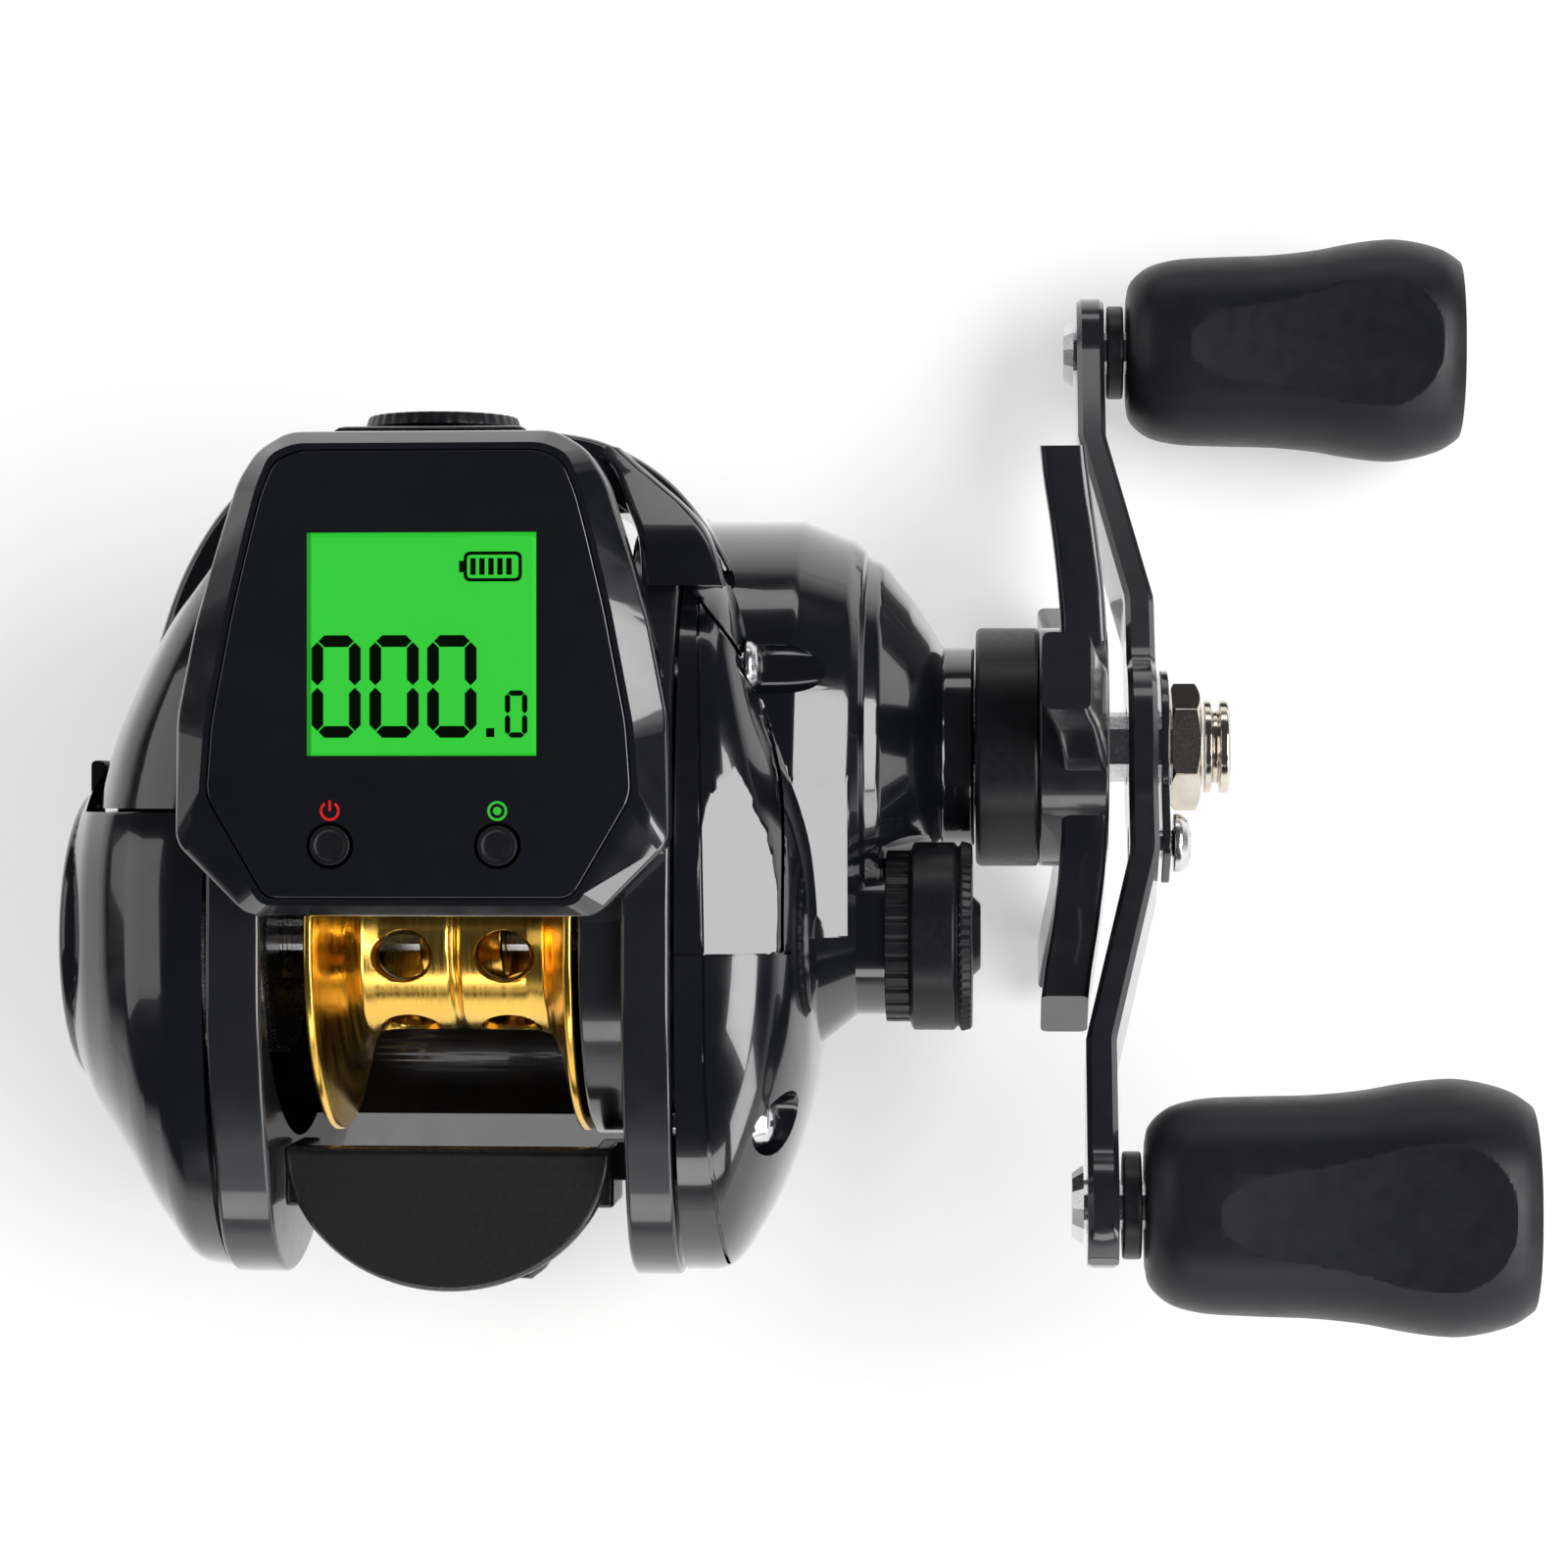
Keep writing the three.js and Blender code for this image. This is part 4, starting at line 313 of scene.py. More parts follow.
# Display housing
POD_BOTTOM = 18.6
POD_BAND = (21, 24.3)
POD_TOP = 26
POD_HALF = 19.5
POD_REAR = 2.4
POD_FRONT = 40.5
POD_UNDER_INSET = 1.2
POD_EASE = 1
POD_CORNER = 1.2
POD_FLOOR = 1.4
POD_EDGE = [
    (0.708, 0), (1, 0.15), (0.995, 0.41), (0.918, 0.607),
    (0.846, 0.735), (0.75, 0.895), (0.67, 0.96), (0.54, 1),
]
FACE_SEAM = 0.1
FACE_HALF = 16.7
FACE_REAR = 3.9
FACE_FRONT = 38.8
FACE_THICK = 1.6
FACE_LEDGE = 1.6
FACE_EDGE = [
    (0.72, 0), (1, 0.23), (0.976, 0.39), (0.874, 0.645),
    (0.79, 0.814), (0.74, 0.905), (0.677, 0.977), (0.563, 1),
]
LCD_X = (-8.7, 9.3)
LCD_V = (15, 32.4)
LCD_MARGIN = 1
BOARD_TOP = 21.3
BUTTON_RADIUS = 1.55
BUTTON_FLANGE = (0.5, 0.8)
BUTTON_DISH = (0.35, 0.45, 0.12)
BUTTON_PROUD = 0.2
BUTTON_TRAVEL = 0.6
BUTTON_V = 8
BUTTONS = {"power_button": -6.9, "set_button": 6.25}
BATTERY_W = 12.6
BATTERY_BOX = ((-8, 8), (30.3, 41.3), 6.3)
CELL_RADIUS = 5
CELL_SEAT = 36.8
WIRE_HOLE = 0.9
CAP_RADIUS = 6.3
CAP_THICK = 1
CAP_CHAMFER = 0.95
CAP_PLUG = 1.4
CAP_START = 41.6
CAP_RIDGES = (36, 0.06)
CAP_SLOT = (0.6, 1.5, 0.5)
SKIRT_HALF = (11.2, 12.6)
SKIRT_REAR = 20.5
SKIRT_FRONT = 38.4
SKIRT_DEPTH = 10.4

# Display and button marks, in x and v on the deck
INK = 0.04
GLASS_TOP = POD_TOP - GAP / 2
DIGIT_LEFTS = (-8.36, -3.8, 0.74)
DIGIT_BOTTOM = 16.4
DIGIT_SIZE = (3.87, 8)
DIGIT_STROKE = 0.92
DIGIT_GAP_SHARE = 0.09
SMALL_DIGIT_LEFT = 6.83
SMALL_DIGIT_SIZE = (1.76, 3.68)
SMALL_DIGIT_STROKE = 0.42
POINT = ((5.36, 6), (16.45, 17.15))
BATTERY_MARK = ((3.6, 8.16), (28.56, 30.9))
BATTERY_LINE = 0.26
BATTERY_CORNERS = (0.55, 0.35)
BATTERY_NUB = (0.36, 0.45)
BATTERY_BARS = 5
BATTERY_BAR_GAP = 0.28
MARK_V = 10.7
MARK_RADIUS = 0.78
MARK_LINE = 0.2
MARK_GAP = math.radians(35)
MARK_STEM = 1.05
MARK_DOT = (0.42, 0.41)
RING_END = 1.999 * math.pi

# Drag collar, star and handle, along their own axis
COLLAR = (43.12, 48.46)
COLLAR_RADIUS = 10.3
COLLAR_WALL = 1.5
SLEEVE_RADIUS = 4.3
SPINDLE_RADIUS = 3
STAR_HUB_END = 54.4
STAR_HUB_RADIUS = 10.3
STAR_RADIUS = 26
STAR_ARMS = 5
STAR_TURN = math.radians(5)
STAR_THICK = 3.9
STAR_SWEEP = 1.9
STAR_ROOT_WIDTH = 9.7
STAR_TIP_WIDTH = 7.1
STAR_EDGE = 0.7
STAR_STATIONS = [(0.25, 0, 1), (0.45, 0.1, 0.95), (0.7, 0.45, 0.8), (0.9, 0.85, 0.86), (1, 1, 0.9)]
ARM_START = 56.1
ARM_THICK = 2.5
ARM_OFFSET = 3.9
ARM_HUB_HALF = 13
ARM_BEND_END = 31
ARM_HALF = 4.4
ARM_LEAST_HALF = 0.6
ARM_HUB_RADIUS = 7.4
ARM_END_RADIUS = 5
ARM_CHAMFER = 0.45
ARM_STATIONS = 160
RETAINER = (58.9, 59.6)
RETAINER_RADIUS = 6.6
RETAINER_TONGUE = (3.04, 12.4, 1.2)
RETAINER_SCREW_V = -9.8
RETAINER_SCREW = (2.5, 1.5)
NUT = (59.9, 62.4)
NUT_CORNER = 9.6 / 2 / math.cos(math.pi / 6)
NUT_TURN = math.radians(28)
NUT_EDGE = 0.12
NUT_CROWN = [(0, -0.5), (0.3, 0.02), (2.05, 0.02), (2.5, -0.9)]
END_CAP = (62.7, 64.9)
END_CAP_RADIUS = 4
END_CAP_EDGE = 0.12
END_CAP_SHAPE = [(0, 1), (0.27, 1), (0.33, 0.78), (0.53, 0.78), (0.6, 1), (0.89, 1), (1, 0.94)]
KNOB_CENTRE = 44
KNOB_COLLAR = (55, 56.5)
KNOB_COLLAR_RADIUS = 4.3
KNOB_COLLAR_EDGE = 0.25
KNOB_PIN_RADIUS = 2
KNOB_START = 56.8
KNOB_LENGTH = 30.6
KNOB_RADIUS = 10.2
KNOB_THICKNESS = 17.4
KNOB_FULLNESS = 0.9
KNOB_BORE_SHARE = 0.8
KNOB_SHAPE = [
    (0, 0.5), (0.01, 0.62), (0.06, 0.76), (0.14, 0.83), (0.28, 0.855), (0.44, 0.87), (0.57, 0.91),
    (0.66, 0.96), (0.75, 0.995), (0.81, 1), (0.89, 0.96), (0.95, 0.9), (0.985, 0.835), (1, 0.8),
]
KNOB_HOLLOW_RADIUS = 110
KNOB_HOLLOW_W = 7.05
KNOB_HOLLOW_SHARE = 0.45

# Line winding, about the worm axis
WORM_RADIUS = 2.2
WORM_GROOVE = 0.45
WORM_GROOVE_SHARE = 0.11
WORM_TURNS = 5
WORM_STEPS = 260
WORM_HALF = 13
WORM_JOURNALS = (-15.8, 21.6)
JOURNAL_RADIUS = 1.6
GUIDE_HALF = 3.5
GUIDE_REAR = -2.8
GUIDE_FRONT = 3.3
GUIDE_TOP = 9.6
GUIDE_FOOT = -8.3
GUIDE_CORNER = 1
GUIDE_BAR_W = -6.4
GUIDE_BAR_RADIUS = 1.1
EYE = (1.4, 4, 8.2, 1.3)
PAWL_RADIUS = 1.1
PAWL_HEAD = (1.7, 0.8, 0.8)
PAWL_EDGE = 0.2

# Thumb bar
THUMB_HALF = 13.6
THUMB_FRONT = -17
THUMB_REAR = -28.9
THUMB_TOP = 11
THUMB_THICK = 2
THUMB_EDGE = 0.6
CHEEK = (1.6, 5, 2.5)
THUMB_ARM = (3.2, 3)

# Camera, in millimetres on the deck, and its lens
CAMERA_PLACE = (46, 12.8, 310)
CAMERA_AIM_X = 27
LENS = 84.4
SENSOR_WIDTH = 36

# Stage, in metres. A softbox has a place, what it faces, its width, its height and its face's brightness.
NEAREST_SEEN = 0.01
FLOOR_HALF = 3
FLOOR_LIFT = 0.38
FLOOR_COLOUR = (0.65, 0.65, 0.65)
WHITE = (1, 1, 1, 1)
SKY_LOW = (0.02, (1, 1, 1))
SKY_HIGH = (0.2, (0.045, 0.045, 0.05))
SKY_LIGHT = (0.4, 0.4, 0.4, 1)
SOFTBOXES = {
    "softbox_right": ((1.02, -0.2, 1.11), (0.02, 0.01, 0.02), 1.25, 0.8, 6.8),
    "softbox_left": ((-1.2, 0.1, 0.85), (0, 0.02, 0.02), 1.2, 0.8, 1.2),
    "softbox_front": ((0.1, 1.5, 0.75), (0.02, 0, 0.02), 1.5, 0.36, 2),
    "softbox_rear": ((0.1, -1.5, 0.6), (0.02, 0, 0.02), 1.5, 0.36, 3.2),
    "softbox_corner": ((1.08, -0.91, 0.5), (0.02, 0, 0.02), 0.6, 0.5, 5),
}

# CAD nodes whose shape is right as it is, by finish
KEPT_NODES = {
    "steel": [
        "brake_magnet_ring", "spool_bearing_left", "spool_bearing_right", "coin_cell", "spool_shaft",
        "brake_rotor", "clutch_yoke", "clutch_cam", "drive_shaft", "ratchet_wheel", "drag_plate",
        "clutch_sleeve", "anti_reverse_bearing", "drag_spring_washer", "knob_shaft_front", "knob_shaft_rear",
        "guide_bar",
    ],
    "brass": ["pinion_gear", "main_gear"],
    "acetal": ["levelwind_drive_gear", "worm_gear"],
    "carbon_fibre": ["drag_washer"],
    "circuit_board": ["circuit_board"],
}


def eased(points, radius, steps=EASE_STEPS, closed=False):
    """The line with short curves at its corners, and points beside them that keep the flats flat."""
    line = []
    last = len(points) - 1
    for i, point in enumerate(points):
        corner = Vector(point)
        if not closed and i in (0, last):
            line.append(corner)
            continue
        back = Vector(points[i - 1]) - corner
        ahead = Vector(points[(i + 1) % len(points)]) - corner
        reach = min(radius, REACH_SHARE * back.length, REACH_SHARE * ahead.length)
        back, ahead = back.normalized() * reach, ahead.normalized() * reach
        line.append(corner + back * SUPPORT_SHARE)
        for step in range(steps + 1):
            t = step / steps
            line.append(corner + back * (1 - t) ** 2 + ahead * t ** 2)
        line.append(corner + ahead * SUPPORT_SHARE)
    return line


def curved(points, per=6, closed=False):
    """A smooth curve through the points: centripetal Catmull-Rom, in as many dimensions as they have."""
    knots = [Vector(point) for point in points]
    count = len(knots)
    ends = (2 * knots[0] - knots[1], 2 * knots[-1] - knots[-2])
    line = []
    for i in range(count if closed else count - 1):
        before = knots[i - 1] if closed or i else ends[0]
        here, there = knots[i], knots[(i + 1) % count]
        after = knots[(i + 2) % count] if closed or i + 2 < count else ends[1]
        d1, d2, d3 = (math.sqrt((b - a).length) for a, b in ((before, here), (here, there), (there, after)))
        leave = ((here - before) / d1 - (there - before) / (d1 + d2) + (there - here) / d2) * d2
        arrive = ((there - here) / d2 - (after - here) / (d2 + d3) + (after - there) / d3) * d2
        for step in range(per):
            t = step / per
            line.append(
                here * (2 * t**3 - 3 * t**2 + 1) + leave * (t**3 - 2 * t**2 + t)
                + there * (3 * t**2 - 2 * t**3) + arrive * (t**3 - t**2)
            )
    return line if closed else [*line, knots[-1]]


def arc(radius, start, end, middle=(0, 0)):
    steps = [start + (end - start) * i / SMALL_SIDES for i in range(SMALL_SIDES + 1)]
    return [(middle[0] + radius * math.cos(turn), middle[1] + radius * math.sin(turn)) for turn in steps]


def rectangle(x, v):
    return [(x[0], v[0]), (x[1], v[0]), (x[1], v[1]), (x[0], v[1])]


def rounded(x, v, corner, steps=EASE_STEPS):
    return eased(rectangle(x, v), corner, steps, closed=True)


def shares(rows, start, end, radius):
    """Places along x and radii, from shares of the way from start to end and of the radius."""
    return [(start + along * (end - start), wide * radius) for along, wide in rows]


def skin(rings, looped=False):
    """Faces over rings of points. End rings are closed by a flat face, and one of a single point is a tip."""
    points = [point for ring in rings for point in ring]
    starts = [sum(len(ring) for ring in rings[:i]) for i in range(len(rings))]
    faces = []
    pairs = [(i, i + 1) for i in range(len(rings) - 1)] + ([(len(rings) - 1, 0)] if looped else [])
    for low, high in pairs:
        sides = max(len(rings[low]), len(rings[high]))
        for i in range(sides):
            corners = []
            for ring, across in ((low, i), (low, i + 1), (high, i + 1), (high, i)):
                corner = starts[ring] + (across % sides if len(rings[ring]) > 1 else 0)
                if corner not in corners:
                    corners.append(corner)
            faces.append(corners)
    if not looped:
        for ring in (0, len(rings) - 1):
            if len(rings[ring]) > 2:
                faces.append([starts[ring] + i for i in range(len(rings[ring]))])
    return points, faces


def turned(profile, sides=ROUND_SIDES, looped=False, ripple=None):
    """A piece turned about x from places along x and radii. The ripple adds to the radius."""
    rings = []
    for x, radius in profile:
        if radius < AXIS_RADIUS:
            rings.append([Vector((x, 0, 0))])
            continue
        ring = []
        for i in range(sides):
            angle = 2 * math.pi * i / sides
            r = radius + (ripple(x, angle) if ripple else 0)
            ring.append(Vector((x, r * math.cos(angle), r * math.sin(angle))))
        rings.append(ring)
    return skin(rings, looped)


def lathe(points, edge=None, sides=ROUND_SIDES, ripple=None):
    """A solid turned piece: its profile is closed on the axis, and eased if an edge is given."""
    profile = [(points[0][0], 0), *points, (points[-1][0], 0)]
    return turned(profile if edge is None else eased(profile, edge), sides, ripple=ripple)


def rod(start, end, radius, sides=SMALL_SIDES, edge=0):
    return lathe([(start, radius), (end, radius)], edge, sides)


def hoop(profile, edge, sides=ROUND_SIDES):
    """A turned piece whose profile closes on itself, clear of the axis."""
    return turned(eased(profile, edge, closed=True), sides, looped=True)


def tube(start, end, inner, outer, edge, sides=ROUND_SIDES):
    return hoop([(start, inner), (start, outer), (end, outer), (end, inner)], edge, sides)


def inset(outline, depth):
    """A flat outline moved inwards along its own normals. It runs anticlockwise."""
    moved = []
    for i, point in enumerate(outline):
        along = outline[(i + 1) % len(outline)] - outline[i - 1]
        normal = Vector((-along.y, along.x))
        moved.append(point + normal.normalized() * depth if normal.length else point.copy())
    return moved


def anticlockwise(outline):
    points = [Vector(point) for point in outline]
    area = sum(a.x * b.y - b.x * a.y for a, b in zip(points, points[1:] + points[:1]))
    return points if area > 0 else points[::-1]


def slab_rings(outline, low, high, edge):
    """Heights and outlines of a plate with rounded edges."""
    outline = anticlockwise(outline)
    rounding = [(edge * (1 - math.sin(turn)), edge * (1 - math.cos(turn))) for turn in EDGE_TURNS]
    lower = [(edge * SUPPORT_SHARE, 0), *rounding] if edge else [(0, 0)]
    stack = [(low + up, inward) for inward, up in lower]
    stack += [(high - up, inward) for inward, up in reversed(lower)]
    return [(height, inset(outline, inward) if inward else outline) for height, inward in stack]


def slab_up(outline, low, high, edge=EDGE):
    """A flat outline in x and v made thick along w."""
    return skin([
        [Vector((p.x, p.y, height)) for p in ring] for height, ring in slab_rings(outline, low, high, edge)
    ])


def slab_along(outline, low, high, edge=EDGE):
    """A flat outline in v and w made thick along x."""
    return skin([
        [Vector((height, p.x, p.y)) for p in ring] for height, ring in slab_rings(outline, low, high, edge)
    ])


def block(x, v, w, edge=0, corner=0):
    outline = rounded(x, v, corner or edge) if corner or edge else rectangle(x, v)
    return slab_up(outline, w[0], w[1], edge)


def placed(shape, matrix):
    points, faces = shape
    return [matrix @ point for point in points], faces


def shifted(shape, x=0, v=0, w=0):
    return placed(shape, Matrix.Translation((x, v, w)))


def at_drive(shape):
    return shifted(shape, 0, DRIVE_V, DRIVE_W)


def at_worm(shape, w=0):
    return shifted(shape, 0, DRIVE_V + WORM_REACH, DRIVE_W + w)


def upright(shape, x=0, v=0):
    """A shape along x stood up along w."""
    return shifted(placed(shape, X_TO_W), x, v)


def forward(shape, w=0):
    """A shape along x laid forward along v."""
    return shifted(placed(shape, X_TO_V), 0, 0, w)


def hole_forward(x, w, start, end, corner, steps=EASE_STEPS):
    """A rounded oblong in x and w that runs along v."""
    return placed(slab_up(rounded(x, w, corner, steps), start, end, 0), SWAP_VW)


def new_object(name, data):
    thing = bpy.data.objects.new(name, data)
    bpy.context.scene.collection.objects.link(thing)
    return thing


def bare_object(shape):
    """A scratch object with the shape's mesh, closed and facing outwards."""
    mesh = bpy.data.meshes.new("scratch")
    mesh.from_pydata(shape[0], [], shape[1])
    work = bmesh.new()
    work.from_mesh(mesh)
    if not all(edge.is_manifold for edge in work.edges):
        bmesh.ops.remove_doubles(work, verts=work.verts, dist=FINE_WELD)
    bmesh.ops.triangulate(work, faces=[face for face in work.faces if len(face.verts) > 4])
    bmesh.ops.recalc_face_normals(work, faces=work.faces)
    work.to_mesh(mesh)
    work.free()
    return new_object("scratch", mesh)


def combined(operation, base, *tools):
    """The base joined with the tools, cut by them or kept where they are."""
    thing = bare_object(base)
    others = [bare_object(tool) for tool in tools]
    for other in others:
        step = thing.modifiers.new(operation, "BOOLEAN")
        step.operation = operation
        step.solver = "MANIFOLD"
        step.object = other
    bpy.context.view_layer.update()
    graph = bpy.context.evaluated_depsgraph_get()
    mesh = bpy.data.meshes.new_from_object(thing.evaluated_get(graph))
    shape = [v.co.copy() for v in mesh.vertices], [list(face.vertices) for face in mesh.polygons]
    for spare in (thing, *others):
        bpy.data.objects.remove(spare)
    if not shape[0]:
        raise ValueError("a cut left nothing")
    return shape


def cut(base, *tools):
    return combined("DIFFERENCE", base, *tools)


def joined(base, *tools):
    return combined("UNION", base, *tools)


def common(base, *tools):
    return combined("INTERSECT", base, *tools)


def piece(name, shape, place, material, body, nodes=(), bevel=0):
    """A shown piece: the shape put in place, with smooth faces and crisp edges, riding on a body."""
    mesh = bpy.data.meshes.new(name)
    mesh.from_pydata(shape[0], [], shape[1])
    work = bmesh.new()
    work.from_mesh(mesh)
    bmesh.ops.remove_doubles(work, verts=work.verts, dist=WELD)
    bmesh.ops.recalc_face_normals(work, faces=work.faces)
    if bevel:
        bmesh.ops.dissolve_limit(work, angle_limit=FLAT_ANGLE, verts=work.verts, edges=work.edges)
        crisp = [e for e in work.edges if e.is_manifold and e.calc_face_angle(0) > SHARP_ANGLE]
        bmesh.ops.bevel(
            work, geom=crisp, offset=bevel, segments=2, profile=0.5, affect="EDGES", clamp_overlap=True,
        )
    for face in work.faces:
        face.smooth = True
    for e in work.edges:
        e.smooth = not e.is_manifold or e.calc_face_angle(0) < SHARP_ANGLE
    work.to_mesh(mesh)
    work.free()
    mesh.transform(place)
    mesh.materials.append(material)
    thing = new_object(name, mesh)
    if bevel:
        shading = thing.modifiers.new("large_faces_first", "WEIGHTED_NORMAL")
        shading.mode = "FACE_AREA_WITH_ANGLE"
        shading.keep_sharp = True
    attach(thing, body)
    if nodes:
        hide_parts(*nodes)
    return thing


def feed(tree, node, values):
    """Links the node's inputs to the given sockets, or sets them to the given values."""
    for name, value in values.items():
        if isinstance(value, bpy.types.NodeSocket):
            tree.links.new(value, node.inputs[name])
        else:
            node.inputs[name].default_value = value


def new_node(tree, kind, values):
    node = tree.nodes.new("ShaderNode" + kind)
    feed(tree, node, values)
    return node


def ramp(tree, value, *stops):
    """A colour for the value, from two stops of a place and a colour."""
    node = new_node(tree, "ValToRGB", {"Fac": value})
    for element, (place, colour) in zip(node.color_ramp.elements, stops):
        element.position = place
        element.color = (*colour, 1)
    return node.outputs["Color"]


class Finish:
    """A node material that is put together step by step."""

    def __init__(self, name, colour, roughness, metallic=0, coat=0, coat_roughness=0.05, specular=0.5):
        self.material = bpy.data.materials.new(name)
        self.material.use_nodes = True
        self.tree = self.material.node_tree
        self.place = self.node("TexCoord", {}).outputs["Object"]
        self.show({
            "Base Color": (*colour, 1), "Roughness": roughness, "Metallic": metallic, "Coat Weight": coat,
            "Coat Roughness": coat_roughness, "Specular IOR Level": specular,
        })

    def node(self, kind, values):
        return new_node(self.tree, kind, values)

    def show(self, values):
        feed(self.tree, self.tree.nodes["Principled BSDF"], values)

    def noise(self, per_mm, detail=3, stretch=(1, 1, 1)):
        place = self.node("Mapping", {"Vector": self.place, "Scale": stretch}).outputs["Vector"]
        return self.node("TexNoise", {"Vector": place, "Scale": per_mm / MM, "Detail": detail}).outputs["Fac"]

    def vary_roughness(self, value, low, high, start=0.3, end=0.7):
        """The value's span from start to end gives roughness from low to high."""
        self.show({"Roughness": self.node("MapRange", {
            "Value": value, "From Min": start, "From Max": end, "To Min": low, "To Max": high,
        }).outputs["Result"]})

    def vary_colour(self, value, first, second):
        self.show({"Base Color": ramp(self.tree, value, (0.3, first), (0.7, second))})

    def bump(self, value, height_mm, strength=1):
        """Adds relief and gives the finished material."""
        self.show({"Normal": self.node("Bump", {
            "Height": value, "Distance": height_mm * MM, "Strength": strength,
        }).outputs["Normal"]})
        return self.material


def grained(name, colours, roughness, per_mm, relief, **rest):
    """Colour, roughness and relief that vary, each at its own grain, about the first colour and roughness."""
    finish = Finish(name, colours[0], roughness[0], **rest)
    finish.vary_colour(finish.noise(per_mm[0]), *colours[1:])
    finish.vary_roughness(finish.noise(per_mm[1]), *roughness[1:])
    detail, height_mm, strength = relief
    return finish.bump(finish.noise(per_mm[2], detail), height_mm, strength)


def bright_metal(name, colour, low, high):
    darker = tuple(0.82 * part for part in colour)
    roughness = ((low + high) / 2, low, high)
    return grained(name, (colour, darker, colour), roughness, (0.5, 5, 5), (2, 0.002, 0.2), metallic=1)


def gold_anodised():
    finish = Finish("gold_anodised", (0.88, 0.54, 0.105), 0.2, metallic=1)
    finish.vary_colour(finish.noise(0.12), (0.81, 0.485, 0.09), (0.94, 0.595, 0.12))
    turning = finish.noise(6, 2, stretch=(1, 0.02, 0.02))
    finish.vary_roughness(turning, 0.15, 0.27)
    return finish.bump(turning, 0.004, 0.35)


def carbon_fibre():
    finish = Finish("carbon_weave", (0.008, 0.008, 0.009), 0.3, coat=0.5, coat_roughness=0.1)
    diagonal = finish.node("Mapping", {"Vector": finish.place, "Rotation": (0, 0, math.pi / 4)})
    weave = finish.node("TexChecker", {
        "Vector": diagonal.outputs["Vector"], "Scale": 1.5 / MM,
        "Color1": (0.005, 0.005, 0.0055, 1), "Color2": (0.012, 0.012, 0.0135, 1),
    })
    finish.show({"Base Color": weave.outputs["Color"]})
    finish.vary_roughness(weave.outputs["Fac"], 0.3, 0.45, 0, 1)
    return finish.bump(weave.outputs["Fac"], 0.015, 0.3)


def acetal():
    finish = Finish("white_acetal", (0.78, 0.76, 0.7), 0.45)
    finish.vary_colour(finish.noise(0.3), (0.72, 0.7, 0.63), (0.8, 0.78, 0.73))
    return finish.bump(finish.noise(4), 0.006, 0.4)


def circuit_green():
    finish = Finish("circuit_board_lacquer", (0.01, 0.09, 0.03), 0.35)
    tracks = finish.node("TexBrick", {
        "Vector": finish.place, "Scale": 0.25 / MM, "Mortar": (0.03, 0.2, 0.08, 1),
        "Color1": (0.008, 0.08, 0.025, 1), "Color2": (0.012, 0.1, 0.035, 1),
    })
    finish.show({"Base Color": tracks.outputs["Color"]})
    return finish.bump(tracks.outputs["Fac"], 0.02, 0.5)


def glowing_green():
    """Glass that gives off its own green as a painted glow with no lamp behind it, in faintly lighter and
    darker patches.
    """
    finish = Finish("glowing_display", (0.01, 0.05, 0.012), 0.12, specular=0.2)
    glow = ramp(finish.tree, finish.noise(0.04, 1), (0, (0.024, 0.52, 0.03)), (1, (0.028, 0.56, 0.034)))
    # Painted light: this emission makes the display glow, though nothing in it is a lamp.
    finish.show({"Emission Color": glow, "Emission Strength": 1})
    return finish.material


def printed(name, colour, specular=0.15):
    finish = Finish(name, colour, 0.5, specular=specular)
    finish.vary_colour(finish.noise(3), tuple(0.85 * part for part in colour), colour)
    return finish.bump(finish.noise(8), 0.002, 0.3)


FINISHES = {
    "gloss_black": grained(
        "gloss_black_lacquer", ((0.004, 0.0045, 0.0065), (0.0035, 0.004, 0.0055), (0.005, 0.0055, 0.008)),
        (0.16, 0.13, 0.2), (0.05, 0.4, 0.7), (2, 0.004, 0.4), coat=1, coat_roughness=0.03,
    ),
    "satin_black": grained(
        "satin_black_moulding", ((0.006, 0.006, 0.008), (0.005, 0.005, 0.0065), (0.007, 0.0075, 0.0095)),
        (0.33, 0.3, 0.4), (0.08, 1.5, 9), (2, 0.006, 0.5), specular=0.35,
    ),
    "black_metal": grained(
        "black_painted_metal", ((0.009, 0.0095, 0.012), (0.007, 0.0075, 0.0095), (0.011, 0.0115, 0.0145)),
        (0.24, 0.2, 0.27), (0.1, 0.5, 0.6), (2, 0.002, 0.3), coat=0.8, coat_roughness=0.06,
    ),
    "knob_rubber": grained(
        "soft_knob_rubber", ((0.007, 0.0075, 0.01), (0.006, 0.0065, 0.0085), (0.008, 0.0085, 0.0115)),
        (0.4, 0.36, 0.45), (0.09, 0.6, 14), (3, 0.008, 0.5), specular=0.33,
    ),
    "gold_anodised": gold_anodised(),
    "steel": bright_metal("bright_steel", (0.72, 0.72, 0.73), 0.18, 0.3),
    "nickel": bright_metal("nickel_plate", (0.78, 0.71, 0.62), 0.1, 0.2),
    "brass": bright_metal("turned_brass", (0.68, 0.46, 0.18), 0.25, 0.4),
    "carbon_fibre": carbon_fibre(),
    "acetal": acetal(),
    "circuit_board": circuit_green(),
    # The display's green is a painted glow from emission.
    "display": glowing_green(),
}
SEGMENT_INK = printed("display_segments", (0.0015, 0.004, 0.0015), 0)
RED_INK = printed("red_print", (0.55, 0.01, 0.008))
GREEN_INK = printed("green_print", (0.03, 0.42, 0.03))


def dress(name, shape, slot, body="reel_body", place=DECK, bevel=0):
    """A piece in a slot's finish that stands for the CAD node of the same name."""
    return piece(name + "_skin", shape, place, FINISHES[slot], body, (name,), bevel)


